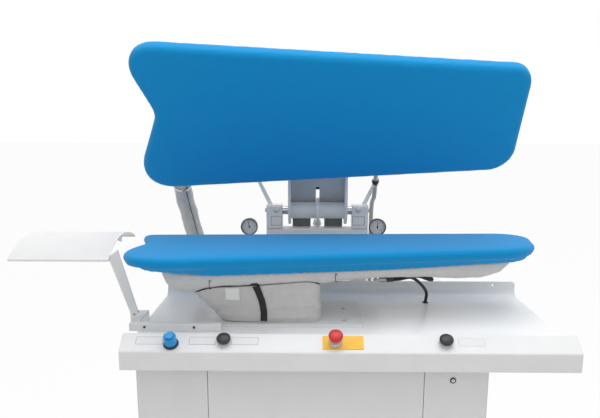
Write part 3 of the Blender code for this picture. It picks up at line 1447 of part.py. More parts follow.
def needle(side, place, turn, floor):
    lift = 0.0012
    sheet_thickness = 0.0008
    length = 0.021
    tail = 0.006
    width = 0.0022
    hub = 0.0032
    blade = outline([[(-width / 2, -tail), (width / 2, -tail), (width / 4, length),
                      (-width / 4, length)]], sheet_thickness)
    blade = moved(blade, Matrix.Translation((0, 0, floor + lift + sheet_thickness / 2)))
    obj = part("needle_" + side, blade, black_plastic, place)
    obj.rotation_euler = (Matrix.Rotation(math.pi / 2, 3, "X") @ Matrix.Rotation(turn, 3, "Z")).to_euler()
    boss = turned([(0, floor + lift * 2), (hub, floor + lift * 2), (hub, floor + lift / 2),
                   (NEEDLE_BORE - GAP, floor + lift / 2),
                   (NEEDLE_BORE - GAP, floor / 2 + lift), (0, floor / 2 + lift)], 12)
    cut(obj, cutter(boss, obj), "UNION")


DECK_TOP_FITTING = DECK_HEIGHT + GAP
gauges()


# Hoses from the head down to the deck
def opened(x, y, z):
    """A place on the closed head, as it stands with the head open."""
    turn = Matrix.Rotation(-OPEN_ANGLE, 3, "X")
    return Vector((0, PIVOT_Y, PIVOT_HEIGHT)) + turn @ Vector((x, y, z))


STEAM_X = -0.445
AIR_X = 0.216
HOSE_ROOT = -0.115               # rear face of the hose fittings, from the pivot
FITTING_HEIGHT = HEAD_COVER + COVER_HEIGHT / 2


def cover_rear(x):
    """y of the cover's rear face, from the pivot, at x."""
    corners = pad_corners(COVER_INSET, HEAD_LEAD)
    (x0, y0, _), (x1, y1, _) = corners[0], corners[1]
    return y0 + (y1 - y0) * (x - x0) / (x1 - x0) - PIVOT_Y


def head_fittings():
    collar = 0.010
    flange = 0.003
    pipe = 0.011
    clear = 0.002
    start = cover_rear(STEAM_X) + clear
    length = HOSE_ROOT - start
    profile = [(0, length), (STEAM_HOSE_RADIUS * 0.86, length), (STEAM_HOSE_RADIUS * 0.86, length - collar),
               (pipe, length - collar), (pipe, flange), (pipe * 1.25, flange), (pipe * 1.25, 0), (0, 0)]
    facing = (-math.pi / 2, 0, 0)
    part("steam_fitting", turned(profile, 18), steel, (STEAM_X, start, FITTING_HEIGHT), facing, head)
    start = cover_rear(AIR_X) + clear
    length = HOSE_ROOT - start
    profile = [(0, length), (AIR_HOSE_RADIUS * 1.05, length), (AIR_HOSE_RADIUS * 1.05, length - collar * 3),
               (AIR_HOSE_RADIUS * 0.8, length - collar * 3), (AIR_HOSE_RADIUS * 0.8, length - collar * 4),
               (AIR_HOSE_RADIUS * 1.2, length - collar * 4), (AIR_HOSE_RADIUS * 1.2, length - collar * 5),
               (AIR_HOSE_RADIUS * 0.7, length - collar * 5), (AIR_HOSE_RADIUS * 0.7, flange),
               (AIR_HOSE_RADIUS * 1.8, flange), (AIR_HOSE_RADIUS * 1.8, 0), (0, 0)]
    part("air_fitting", turned(profile, 14), steel, (AIR_X, start, FITTING_HEIGHT), facing, head)


def hoses():
    lead = 0.07
    foot = DECK_HEIGHT + GAP
    steam_rise = 0.090
    air_rise = 0.270
    for name, x, radius, foot_x, foot_y, material, spacing, rise in (
            ("steam_hose", STEAM_X, STEAM_HOSE_RADIUS, -STEAM_HOSE_X, STEAM_HOSE_Y, grey_cloth, 1.6,
             steam_rise),
            ("air_hose", AIR_X, AIR_HOSE_RADIUS, AIR_HOSE_X, AIR_HOSE_Y, hose_grey, 2.6, air_rise)):
        root = opened(x, HOSE_ROOT + GAP, FITTING_HEIGHT)
        second = opened(x, HOSE_ROOT + lead, FITTING_HEIGHT)
        route, _ = smooth_route([root, second, (foot_x, foot_y, foot + rise), (foot_x, foot_y, foot)],
                                radius * spacing)
        route = straight_ends(route, second - root, Vector((0, 0, 1)))
        part(name, wire(route, radius, 3), material)


head_fittings()
hoses()


# Drain valve below the buck, hung from the chamber, and its hose down to the worktable
VALVE_X = 0.222
VALVE_Y = 0.300
VALVE_DROP = 0.0235              # below the chamber's underside
VALVE_HEIGHT = CHAMBER_TOP - chamber_depth_at(VALVE_X) - VALVE_DROP
VALVE_RADIUS = 0.0075
VALVE_LEFT = 0.018
VALVE_RIGHT = 0.008
VALVE_CUBE = 0.007              # half the outlet block
VALVE_STEM = 0.003
VALVE_STEM_LEFT = 0.036
VALVE_PIPE = 0.005
VALVE_PIPE_LEFT = 0.006
VALVE_LAP = 0.002               # how far one piece of the valve runs into the next
DRAIN_HOSE_RADIUS = 0.005
DRAIN_REACH = 0.150             # foot of the hose, right of the valve and behind it
DRAIN_BACK = 0.130
# Turns of the hose after its outlet: right, back and up from there
DRAIN_TURNS = ((0.025, 0, 0.002), (0.070, 0.020, 0.001))
DRAIN_DROP = 0.040


def drain_valve():
    bar = round_bar(VALVE_RADIUS, (-VALVE_LEFT, 0, 0), (VALVE_RIGHT, 0, 0), 14)
    obj = part("drain_valve", bar, steel, (VALVE_X, VALVE_Y, VALVE_HEIGHT))
    stem = round_bar(VALVE_STEM, (-VALVE_STEM_LEFT, 0, 0), (-VALVE_LEFT + VALVE_LAP, 0, 0), 10)
    cut(obj, cutter(stem, obj), "UNION")
    near = VALVE_RIGHT - VALVE_LAP
    far = near + 2 * VALVE_CUBE
    outlet = block((near, -VALVE_CUBE, -VALVE_CUBE), (far, VALVE_CUBE, VALVE_CUBE), GAP * 3)
    cut(obj, cutter(outlet, obj), "UNION")
    chamber_low = CHAMBER_TOP - chamber_depth_at(VALVE_X)
    rise = chamber_low - GAP - VALVE_HEIGHT
    cut(obj, cutter(round_bar(VALVE_PIPE, (-VALVE_PIPE_LEFT, 0, 0), (-VALVE_PIPE_LEFT, 0, rise), 14),
                    obj), "UNION")
    pipe_x = VALVE_X - VALVE_PIPE_LEFT
    hole = round_bar(VALVE_PIPE + RUNNING * 2, (pipe_x, VALVE_Y, VALVE_HEIGHT),
                     (pipe_x, VALVE_Y, CHAMBER_TOP - OVERRUN * 4), 16)
    cut(bpy.data.objects["chamber_wrap"], cutter(hole))
    start = Vector((VALVE_X + far + GAP, VALVE_Y, VALVE_HEIGHT))
    foot = Vector((VALVE_X + DRAIN_REACH, VALVE_Y + DRAIN_BACK, TABLE_HEIGHT + GAP))
    turns = [start + Vector(turn) for turn in DRAIN_TURNS]
    route, _ = smooth_route([start] + turns + [foot + Vector((0, 0, DRAIN_DROP)), foot],
                            DRAIN_HOSE_RADIUS * 4.4)
    route = straight_ends(route, Vector((1, 0, 0)), Vector((0, 0, 1)))
    part("drain_hose", wire(route, DRAIN_HOSE_RADIUS, 2), black_rubber)


drain_valve()


# Suction fan below the duct, with its motor behind
FAN_X = (DUCT_RIGHT - DUCT_LEFT) / 2
FAN_RADIUS = 0.125
FAN_DEPTH = 0.100
FAN_DROP = 0.190
FAN_Y = 0.285
FAN_NECK = 0.050


def suction_fan():
    centre = DECK_HEIGHT - FAN_DROP
    top = DECK_HEIGHT - DECK_SHEET - GAP
    snail = []
    steps = 20
    first_share = 0.78
    for k in range(steps + 1):
        angle = math.pi / 2 + 1.5 * math.pi * k / steps
        radius = FAN_RADIUS * (first_share + (1 - first_share) * k / steps)
        snail.append((FAN_X + radius * math.cos(angle), centre + radius * math.sin(angle)))
    snail.append((FAN_X + FAN_RADIUS, top))
    snail.append((FAN_X + FAN_RADIUS - FAN_NECK * 1.6, top))
    snail.append((FAN_X + FAN_RADIUS - FAN_NECK * 1.6, centre + FAN_RADIUS * first_share + FAN_NECK / 2))
    body = front_plate([snail], FAN_Y, FAN_DEPTH)
    obj = part("suction_fan", body, grey_paint)
    leg = block((FAN_X - FAN_NECK, FAN_Y - FAN_DEPTH / 3, panel_bottom),
                (FAN_X + FAN_NECK, FAN_Y + FAN_DEPTH / 3, centre))
    cut(obj, cutter(leg), "UNION")
    bore = round_bar(MOTOR_SHAFT + RUNNING, (FAN_X, FAN_Y, centre), (FAN_X, FAN_Y + FAN_DEPTH, centre), 20)
    cut(obj, cutter(bore))
    motor(centre)


MOTOR_SHAFT = 0.008
MOTOR_RADIUS = 0.062
MOTOR_LENGTH = 0.150


def motor(centre):
    face = FAN_Y + FAN_DEPTH / 2 + GAP
    edge = 0.006
    profile = [(0, MOTOR_LENGTH), (MOTOR_RADIUS - edge, MOTOR_LENGTH), (MOTOR_RADIUS, MOTOR_LENGTH - edge),
               (MOTOR_RADIUS, edge), (MOTOR_RADIUS - edge, 0), (MOTOR_SHAFT, 0),
               (MOTOR_SHAFT, -FAN_DEPTH / 3),
               (0, -FAN_DEPTH / 3)]
    part("fan_motor", turned(profile, 20), grey_paint, (FAN_X, face, centre), (-math.pi / 2, 0, 0))


suction_fan()
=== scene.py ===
import math
import bmesh
import bpy
from mathutils import Matrix, Vector, noise
from mathutils.bvhtree import BVHTree


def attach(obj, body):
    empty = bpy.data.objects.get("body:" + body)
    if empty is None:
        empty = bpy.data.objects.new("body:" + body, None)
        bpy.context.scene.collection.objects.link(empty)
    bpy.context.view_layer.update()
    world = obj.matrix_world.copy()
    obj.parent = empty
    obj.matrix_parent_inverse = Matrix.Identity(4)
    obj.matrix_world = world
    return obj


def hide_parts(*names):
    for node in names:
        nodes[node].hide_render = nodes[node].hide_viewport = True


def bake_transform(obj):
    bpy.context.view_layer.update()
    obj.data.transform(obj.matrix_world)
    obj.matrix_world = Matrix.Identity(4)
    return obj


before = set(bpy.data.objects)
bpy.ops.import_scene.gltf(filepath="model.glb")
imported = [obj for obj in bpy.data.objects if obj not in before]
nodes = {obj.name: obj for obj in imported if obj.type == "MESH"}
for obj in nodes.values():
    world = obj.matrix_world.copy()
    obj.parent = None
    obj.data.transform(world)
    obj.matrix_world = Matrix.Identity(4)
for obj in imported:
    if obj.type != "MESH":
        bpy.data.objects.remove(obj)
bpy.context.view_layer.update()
scene = bpy.context.scene
print("frame loaded:", len(nodes), "nodes")

# Places are read from the cabinet's middle, the console's front face and the floor
layout = {"corner": Vector((0.08525, -0.40533, 0.0)), "pivotY": 0.645, "pivotHeight": 0.982,
          "openAngle": math.radians(57), "slopeLow": 0.682, "slopeRise": 0.037, "slopeDepth": 0.055}
same = Matrix.Identity(4)
up = Vector((0, 0, 1))
quarter = math.pi / 2
standing = Matrix.Translation(layout["corner"])
onHead = (standing @ Matrix.Translation((0, layout["pivotY"], layout["pivotHeight"]))
          @ Matrix.Rotation(-layout["openAngle"], 4, "X"))  # the closed head's places, turned open
toFront = Matrix.Rotation(quarter, 4, "X")  # +Z turned to face the front
slopeAngle = math.atan2(layout["slopeRise"], layout["slopeDepth"])


def spot(x, y, z):
    return layout["corner"] + Vector((x, y, z))


def at(x, y, z, turn=same):
    return Matrix.Translation((x, y, z)) @ turn


def looking(place, ahead):  # a seat whose +Z looks ahead
    return Matrix.Translation(place) @ ahead.to_track_quat("Z", "Y").to_matrix().to_4x4()


def onSlope(x, share, lift=0.0):  # a seat square to the console's slope
    y = layout["slopeDepth"] * share - lift * math.sin(slopeAngle)
    z = layout["slopeLow"] + layout["slopeRise"] * share + lift * math.cos(slopeAngle)
    return Matrix.Translation(spot(x, y, z)) @ Matrix.Rotation(slopeAngle, 4, "X")


def newObject(name, data):
    item = bpy.data.objects.new(name, data)
    scene.collection.objects.link(item)
    return item


def meshFrom(bm, name):
    mesh = bpy.data.meshes.new(name)
    bm.to_mesh(mesh)
    bm.free()
    return mesh


def evaluated(piece):
    return bpy.data.meshes.new_from_object(piece.evaluated_get(bpy.context.evaluated_depsgraph_get()))


# Camera
cameraSettings = {"place": (-0.01095, -1.71477, 1.28574), "yaw": 0.01282, "pitch": 0.21489, "roll": 0.00177,
                  "lens": 40.54, "shiftY": 0.1}


def makeCamera(s):
    yaw, pitch, roll = s["yaw"], s["pitch"], s["roll"]
    ahead = Vector((-math.sin(yaw) * math.cos(pitch), math.cos(yaw) * math.cos(pitch), -math.sin(pitch)))
    level = Vector((math.cos(yaw), math.sin(yaw), 0))
    upright = level.cross(ahead)
    right = math.cos(roll) * level + math.sin(roll) * upright
    above = -math.sin(roll) * level + math.cos(roll) * upright
    camera = newObject("camera", bpy.data.cameras.new("camera"))
    turn = Matrix((right, above, -ahead)).transposed().to_4x4()
    camera.matrix_world = Matrix.Translation(spot(*s["place"])) @ turn
    camera.data.lens = s["lens"]
    camera.data.sensor_width = 36
    camera.data.shift_y = s["shiftY"]
    camera.data.clip_start = 0.05
    scene.camera = camera


makeCamera(cameraSettings)


# Node helpers
def addNode(tree, kind, values=None, **links):
    node = tree.nodes.new("ShaderNode" + kind)
    for key, value in (values or {}).items():
        if hasattr(node, key) and key not in node.inputs:
            setattr(node, key, value)
        else:
            node.inputs[key].default_value = value
    for key, source in links.items():
        label = key.replace("_", " ")
        tree.links.new(source, node.inputs[int(label[2:]) if label.startswith("in") else label])
    return node


def mathNode(tree, operation, a, b=0):
    node = addNode(tree, "Math", {"operation": operation})
    for i, value in enumerate((a, b)):
        if isinstance(value, (int, float)):
            node.inputs[i].default_value = value
        else:
            tree.links.new(value, node.inputs[i])
    return node.outputs[0]


def axesOf(tree, place):
    return addNode(tree, "SeparateXYZ", in0=place).outputs


def setInputs(node, values):
    for label, value in values.items():
        node.inputs[label].default_value = value


def cameraSees(tree):  # 1 for camera, glossy and transmission rays
    path = addNode(tree, "LightPath").outputs
    first = mathNode(tree, "MAXIMUM", path["Is Camera Ray"], path["Is Glossy Ray"])
    return mathNode(tree, "MAXIMUM", first, path["Is Transmission Ray"])


# Light and stage
lightSettings = {"ambientFront": 0.42, "ambientRear": 0.92, "floorWhite": 0.94, "floorSize": 40,
                 "aim": (0.05, 0.3, 0.9), "lamps": {"overhead": (54, (0.25, 0.0, 3.3), (3.4, 2.6)),
                           "fill": (5.0, (1.5, -2.6, 1.9), (2.2, 2.2))}}


def makeStage(s):
    world = bpy.data.worlds.new("studio")
    world.use_nodes = True
    tree = world.node_tree
    background = tree.nodes["Background"]
    background.inputs["Color"].default_value = (1, 1, 1, 1)
    # White behind, a dimmer room in front
    axes = axesOf(tree, addNode(tree, "TexCoord").outputs["Generated"])
    depth = addNode(tree, "MapRange", {"From Min": -1.0, "To Min": s["ambientFront"],
                                       "To Max": s["ambientRear"]},
                    Value=axes["Y"])
    blend = addNode(tree, "MapRange", {"To Max": 1.0}, To_Min=depth.outputs["Result"],
                    Value=cameraSees(tree))
    tree.links.new(blend.outputs["Result"], background.inputs["Strength"])
    scene.world = world
    for name, (power, place, size) in s["lamps"].items():
        lamp = bpy.data.lights.new(name, "AREA")
        lamp.shape = "RECTANGLE"
        lamp.size, lamp.size_y = size
        lamp.energy = power
        holder = newObject(name, lamp)
        holder.location = spot(*place)
        holder.rotation_euler = (spot(*s["aim"]) - spot(*place)).to_track_quat("-Z", "Y").to_euler()
    bm = bmesh.new()
    bmesh.ops.create_grid(bm, x_segments=1, y_segments=1, size=s["floorSize"])
    floor = newObject("floor", meshFrom(bm, "floor"))
    material = bpy.data.materials.new("paleFloor")
    material.use_nodes = True
    tree = material.node_tree
    shader = tree.nodes["Principled BSDF"]
    setInputs(shader, {"Base Color": (0.86, 0.86, 0.86, 1), "Roughness": 0.9, "Specular IOR Level": 0.0})
    share = mathNode(tree, "MULTIPLY", cameraSees(tree), s["floorWhite"])
    mix = addNode(tree, "MixShader", in0=share, in1=shader.outputs[0],
                  in2=addNode(tree, "Emission").outputs[0])
    tree.links.new(mix.outputs[0], tree.nodes["Material Output"].inputs["Surface"])
    floor.data.materials.append(material)


makeStage(lightSettings)
scene.view_settings.view_transform = "Standard"
print("camera, light and floor made")


# Shader groups
def newGroup(name, inputs):
    group = bpy.data.node_groups.new(name, "ShaderNodeTree")
    for label, value in inputs.items():
        socket = group.interface.new_socket(label, in_out="INPUT", socket_type="NodeSocketFloat")
        socket.default_value = value
    return group, group.nodes.new("NodeGroupInput").outputs


def giveOut(group, results):
    for label in results:
        group.interface.new_socket(label, in_out="OUTPUT", socket_type="NodeSocketFloat")
    sink = group.nodes.new("NodeGroupOutput")
    for label, source in results.items():
        group.links.new(source, sink.inputs[label])
    return group


def noiseOn(tree, place, detail, roughness=0.5, **scale):
    values = {"Detail": detail, "Roughness": roughness}
    if "fixed" in scale:
        values["Scale"] = scale.pop("fixed")
    return addNode(tree, "TexNoise", values, Vector=place, **scale).outputs["Fac"]


def paintGrainGroup():  # orange peel, dust and faint wipe marks
    tree, given = newGroup("paintGrain", {"Peel Scale": 700.0, "Dust Scale": 9.0})
    place = addNode(tree, "TexCoord").outputs["Object"]
    stretch = addNode(tree, "Mapping", {"Scale": (4.0, 30.0, 30.0)}, Vector=place).outputs[0]
    return giveOut(tree, {"Height": noiseOn(tree, place, 1.5, Scale=given["Peel Scale"]),
                          "Dust": noiseOn(tree, place, 5.0, 0.62, Scale=given["Dust Scale"]),
                          "Wipe": noiseOn(tree, stretch, 3.0, fixed=1.0)})


def metalGrainGroup():  # brushed streaks along one axis
    tree, given = newGroup("metalGrain", {"Across": 900.0, "Along": 30.0})
    place = addNode(tree, "TexCoord").outputs["Object"]
    scale = addNode(tree, "CombineXYZ", X=given["Along"], Y=given["Across"], Z=given["Across"])
    stretched = addNode(tree, "VectorMath", {"operation": "MULTIPLY"}, in0=place, in1=scale.outputs[0])
    return giveOut(tree, {"Streaks": noiseOn(tree, stretched.outputs[0], 2.0, fixed=1.0),
                          "Stain": noiseOn(tree, place, 4.0, fixed=22.0)})


def clothWeaveGroup():  # plain weave on the piece's own UV, in metres
    tree, given = newGroup("clothWeave", {"Threads": 1100.0, "Slub Scale": 60.0})
    uv = addNode(tree, "TexCoord").outputs["UV"]
    waves = []
    for axis in ("X", "Y"):
        turns = mathNode(tree, "MULTIPLY", axesOf(tree, uv)[axis], given["Threads"])
        waves.append(mathNode(tree, "SINE", mathNode(tree, "MULTIPLY", turns, math.pi)))
    cross = mathNode(tree, "MULTIPLY", *waves)
    return giveOut(tree, {"Height": mathNode(tree, "ABSOLUTE", cross),
                          "Thread": mathNode(tree, "GREATER_THAN", cross),
                          "Slub": noiseOn(tree, uv, 4.0, 0.6, Scale=given["Slub Scale"])})


paintGrain = paintGrainGroup()
metalGrain = metalGrainGroup()
clothWeave = clothWeaveGroup()


def placeGroup(tree, group, values):
    node = tree.nodes.new("ShaderNodeGroup")
    node.node_tree = group
    setInputs(node, values)
    return node.outputs


def startMaterial(name, metallic=0.0):
    material = bpy.data.materials.new(name)
    material.use_nodes = True
    shader = material.node_tree.nodes["Principled BSDF"]
    shader.inputs["Metallic"].default_value = metallic
    return material, material.node_tree, shader


def mixColours(tree, factor, first, second):  # each colour a grey value, three values or a socket
    mix = addNode(tree, "Mix", {"data_type": "RGBA"}, Factor=factor)
    for label, value in ((6, first), (7, second)):
        if isinstance(value, (float, tuple)):
            mix.inputs[label].default_value = (*(value if isinstance(value, tuple) else (value,) * 3), 1)
        else:
            tree.links.new(value, mix.inputs[label])
    return mix.outputs[2]


def remap(tree, value, low, high):
    return addNode(tree, "MapRange", {"From Min": 0.3, "From Max": 0.7, "To Min": low, "To Max": high},
                   Value=value).outputs["Result"]


def dress(tree, shader, colour, rough, height, strength, distance):
    bump = addNode(tree, "Bump", {"Strength": strength, "Distance": distance}, Height=height)
    for label, source in (("Base Color", colour), ("Roughness", rough), ("Normal", bump.outputs["Normal"])):
        tree.links.new(source, shader.inputs[label])


def paint(name, colour, worn, rough, metallic=0.0, peel=700.0, dust=9.0, bump=0.10, coat=0.0):
    material, tree, shader = startMaterial(name, metallic)
    grain = placeGroup(tree, paintGrain, {"Peel Scale": peel, "Dust Scale": dust})
    dress(tree, shader, mixColours(tree, remap(tree, grain["Dust"], 0, 1), colour, worn),
          remap(tree, grain["Wipe"], *rough), grain["Height"], bump, 0.0004)
    shader.inputs["Coat Weight"].default_value = coat
    return material


def metal(name, colour, worn, rough, metallic=1.0, across=900.0, along=30.0, bump=0.12):
    material, tree, shader = startMaterial(name, metallic)
    grain = placeGroup(tree, metalGrain, {"Across": across, "Along": along})
    dress(tree, shader, mixColours(tree, remap(tree, grain["Stain"], 0, 1), colour, worn),
          remap(tree, grain["Streaks"], *rough), grain["Streaks"], bump, 0.0002)
    return material


def cloth(name, colour, worn, thread, rough, share=0.5, threads=1100.0, slub=60.0, bump=0.25, sheen=0.1):
    material, tree, shader = startMaterial(name)
    weave = placeGroup(tree, clothWeave, {"Threads": threads, "Slub Scale": slub})
    shade = mixColours(tree, remap(tree, weave["Slub"], 0, 1), colour, worn)
    woven = mixColours(tree, weave["Thread"], shade, thread)
    dress(tree, shader, mixColours(tree, remap(tree, weave["Slub"], share, share), shade, woven),
          remap(tree, weave["Slub"], *rough), weave["Height"], bump, 0.0005)
    setInputs(shader, {"Sheen Weight": sheen, "Sheen Roughness": 0.5, "Specular IOR Level": 0.2})
    return material


def glassMaterial(name):
    material, tree, shader = startMaterial(name)
    setInputs(shader, {"Base Color": (1, 1, 1, 1), "Roughness": 0.02, "IOR": 1.35,
                       "Transmission Weight": 1.0})
    return material


plasticGrain = {"peel": 1500.0, "bump": 0.06, "dust": 40.0}
printGrain = {"peel": 2000.0, "bump": 0.03}
finishes = {
    "white": paint("whitePaint", 0.84, (0.79, 0.79, 0.785), (0.32, 0.46)),
    "table": paint("tablePaint", 0.92, (0.89, 0.89, 0.885), (0.33, 0.37), coat=0.15),
    "panel": paint("panelPaint", 0.84, 0.80, (0.36, 0.50)),
    "grey": paint("greyPaint", (0.20, 0.20, 0.205), (0.16, 0.16, 0.165), (0.38, 0.55)),
    "steel": metal("brightSteel", (0.62, 0.62, 0.61), (0.50, 0.50, 0.49), (0.20, 0.38)),
    "zinc": metal("zincSteel", (0.55, 0.55, 0.54), (0.40, 0.40, 0.38), (0.35, 0.55), across=300.0,
                  along=200.0),
    "cast": metal("castMetal", (0.42, 0.42, 0.41), (0.33, 0.33, 0.32), (0.45, 0.65), 0.8, 400.0, 400.0, 0.3),
    "black": paint("blackPlastic", (0.018, 0.018, 0.020), (0.028, 0.028, 0.030), (0.30, 0.45), peel=1500.0,
                   bump=0.06, dust=30.0),
    "blackMatt": paint("mattBlack", (0.022, 0.022, 0.023), 0.035, (0.55, 0.75), peel=1200.0, bump=0.15,
                       dust=40.0),
    "bluePlastic": paint("bluePlastic", (0.0, 0.30, 0.68), (0.0, 0.26, 0.62), (0.28, 0.40), **plasticGrain),
    "redPlastic": paint("redPlastic", (0.68, 0.02, 0.03), (0.58, 0.015, 0.02), (0.25, 0.38), peel=1500.0,
                        bump=0.05, dust=40.0),
    "yellow": paint("yellowPlate", (0.95, 0.56, 0.03), (0.90, 0.50, 0.03), (0.40, 0.52), dust=30.0),
    "pale": paint("palePlastic", (0.62, 0.62, 0.60), (0.55, 0.55, 0.53), (0.35, 0.5), **plasticGrain),
    "labelFace": paint("labelFace", 0.80, 0.76, (0.30, 0.42), **printGrain),
    "labelLine": paint("labelLine", (0.20, 0.20, 0.21), (0.26, 0.26, 0.27), (0.35, 0.5), **printGrain),
    "faintLine": paint("faintLine", (0.50, 0.50, 0.51), 0.58, (0.35, 0.5), **printGrain),
    "darkRim": paint("darkRim", (0.060, 0.060, 0.062), 0.10, (0.30, 0.45), 0.4, 1500.0, bump=0.05),
    "dial": paint("dialFace", 0.88, 0.82, (0.45, 0.6), **printGrain),
    "blueCloth": cloth("blueCloth", (0.001, 0.262, 0.60), (0.003, 0.282, 0.625), (0.006, 0.315, 0.68),
                       (0.75, 0.9), 0.35, slub=22.0, bump=0.12, sheen=0.12),
    "greyCloth": cloth("greyCloth", (0.66, 0.655, 0.65), (0.58, 0.575, 0.57), (0.76, 0.755, 0.75),
                       (0.85, 0.97), threads=700.0, slub=45.0, bump=0.35),
    "sleeve": cloth("sleeveCloth", (0.60, 0.595, 0.58), (0.47, 0.465, 0.455), (0.70, 0.69, 0.68),
                    (0.8, 0.95), threads=500.0, slub=40.0, bump=0.4),
    "strap": cloth("strapWebbing", 0.022, (0.035, 0.034, 0.033), 0.06, (0.7, 0.9), threads=600.0, slub=90.0,
                   bump=0.6),
    "patch": cloth("patchCloth", (0.93, 0.93, 0.92), (0.88, 0.88, 0.87), (0.96, 0.96, 0.95), (0.8, 0.95),
                   threads=1500.0, bump=0.3),
    "hoseGrey": cloth("hoseBraid", (0.50, 0.50, 0.485), (0.40, 0.40, 0.39), (0.66, 0.66, 0.65), (0.45, 0.6),
                      0.6, 420.0, bump=0.6),
    "hoseBlack": cloth("hoseRubber", 0.018, 0.030, 0.05, (0.5, 0.7), 0.4, 380.0, bump=0.6),
    "glass": glassMaterial("gaugeGlass"),
}

# Solids of two finishes, split by place: colour, worn colour, roughness and metallic of each share
shares = {"white": (0.84, (0.79, 0.79, 0.785), 0.38, 0.0),
          "grey": ((0.20, 0.20, 0.205), (0.16, 0.16, 0.165), 0.45, 0.0),
          "steel": ((0.58, 0.58, 0.57), (0.45, 0.45, 0.44), 0.35, 1.0),
          "dark": ((0.10, 0.10, 0.105), (0.075, 0.075, 0.08), 0.40, 0.0),
          # the web's darker grey is painted shade on the arm's white paint
          "webShade": ((0.66, 0.65, 0.64), (0.58, 0.57, 0.56), 0.42, 0.0)}


def twoPart(name, base, other, makeMask):
    material, tree, shader = startMaterial(name)
    mask = makeMask(tree, addNode(tree, "TexCoord").outputs["Object"])
    grain = placeGroup(tree, paintGrain, {"Peel Scale": 700.0, "Dust Scale": 12.0})
    dust = remap(tree, grain["Dust"], 0, 1)
    first, second = [mixColours(tree, dust, *shares[share][:2]) for share in (base, other)]
    rough, shine = [addNode(tree, "MapRange", {"To Min": shares[base][i], "To Max": shares[other][i]},
                            Value=mask).outputs[0] for i in (2, 3)]
    dress(tree, shader, mixColours(tree, mask, first, second),
          mathNode(tree, "ADD", rough, remap(tree, grain["Wipe"], -0.06, 0.06)), grain["Height"], 0.1,
          0.0004)
    tree.links.new(shine, shader.inputs["Metallic"])
    return material


def inRange(tree, value, low, high):
    return mathNode(tree, "MULTIPLY", mathNode(tree, "GREATER_THAN", value, low),
                    mathNode(tree, "LESS_THAN", value, high))


webShadeSettings = {"left": -0.0745, "right": 0.1145, "low": 0.0350, "high": 0.0400}


def webShadeMask(tree, place):  # the sheet between the head arms, painted a darker grey than the arm's white as shade
    s = webShadeSettings
    turned = addNode(tree, "VectorMath", {"operation": "SUBTRACT"}, in0=place)
    turned.inputs[1].default_value = spot(0, layout["pivotY"], layout["pivotHeight"])
    closed = addNode(tree, "Mapping", {"Rotation": (layout["openAngle"], 0, 0)}, Vector=turned.outputs[0])
    axes = axesOf(tree, closed.outputs[0])
    return mathNode(tree, "MULTIPLY", inRange(tree, axes["X"], s["left"], s["right"]),
                    inRange(tree, axes["Z"], s["low"], s["high"]))


def belowMask(height):
    return lambda tree, place: mathNode(tree, "LESS_THAN", axesOf(tree, place)["Z"], height)


def nearAxisMask(x, z, radius):  # a bolt that runs front to back
    def mask(tree, place):
        axes = axesOf(tree, place)
        across = mathNode(tree, "SUBTRACT", axes["X"], x + layout["corner"].x)
        above = mathNode(tree, "SUBTRACT", axes["Z"], z)
        squares = [mathNode(tree, "MULTIPLY", side, side) for side in (across, above)]
        far = mathNode(tree, "SQRT", mathNode(tree, "ADD", *squares))
        return mathNode(tree, "LESS_THAN", far, radius)
    return mask


# the head arm's web is painted a darker grey as shade
for finishName, base, other, makeMask in (("armPaint", "white", "webShade", webShadeMask),
                                          ("basePaint", "grey", "steel", belowMask(0.0515)),
                                          ("gaugePaint", "dark", "steel", belowMask(0.894)),
                                          ("boltPaint", "white", "steel",
                                           nearAxisMask(-0.532, 0.683, 0.0088))):
    finishes[finishName] = twoPart(finishName, base, other, makeMask)
print("materials made:", len(finishes))

nodeFinishes = {
    "table": "worktable",
    "white": "side_panel_left side_panel_right rear_panel console cabinet_deck column_left column_right "
             "cross_beam bearing_housing_left bearing_housing_right head_cover side_tray tray_rail "
             "duct_pedestal cylinder_bracket",
    "panel": "front_panel_left front_panel_centre front_panel_right",
    "grey": "kick_plate front_rail head_saddle suction_fan fan_motor",
    "steel": "pivot_shaft piston_rod rod_clevis steam_fitting cylinder_barrel",
    "zinc": "air_fitting drain_valve", "cast": "buck_plate buck_chamber head_platen",
    "black": "door_lock push_button_left push_button_right regulator_ring stop_plunger needle_left "
             "needle_right",
    "bluePlastic": "regulator_knob", "redPlastic": "stop_mushroom", "yellow": "stop_plate",
    "pale": "button_collar_left button_collar_right stop_collar",
    "armPaint": "head_arm", "basePaint": "base_plate",
    "gaugePaint": "gauge_left gauge_right", "boltPaint": "side_tray_arm", "blueCloth": "buck_pad head_pad",
    "greyCloth": "chamber_wrap duct_wrap", "strap": "wrap_strap", "sleeve": "steam_hose",
    "hoseGrey": "air_hose",
    "hoseBlack": "drain_hose",
}
for finishName, names in nodeFinishes.items():
    for nodeName in names.split():
        for holder in nodes[nodeName].material_slots:
            holder.material = finishes[finishName]
bare = sorted(set(nodes) - set(" ".join(nodeFinishes.values()).split()))
print("CAD nodes without a finish:", bare)


# Modelling helpers
def vertsIn(geom):
    return [g for g in geom if isinstance(g, bmesh.types.BMVert)]


def shift(bm, vec):
    bmesh.ops.translate(bm, vec=vec, verts=bm.verts)


def merge(bm, part, matrix=same):
    bmesh.ops.transform(part, matrix=matrix, verts=part.verts)
    carrier = meshFrom(part, "carrier")
    bm.from_mesh(carrier)
    bpy.data.meshes.remove(carrier)


def smoothMesh(mesh, sharp):
    mesh.shade_smooth()
    mesh.set_sharp_from_angle(angle=math.radians(sharp))


def addPiece(bm, name, body, finish, slotName, matrix=standing, sharp=35, recalc=True):
    if recalc:
        bmesh.ops.remove_doubles(bm, verts=bm.verts, dist=0.000005)
        bmesh.ops.recalc_face_normals(bm, faces=bm.faces)
    bmesh.ops.transform(bm, matrix=matrix, verts=bm.verts)
    mesh = meshFrom(bm, name)
    smoothMesh(mesh, sharp)
    for item in finish if isinstance(finish, list) else [finish]:
        mesh.materials.append(finishes[item])
    piece = newObject(name, mesh)
    if body:
        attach(piece, body)
    return piece


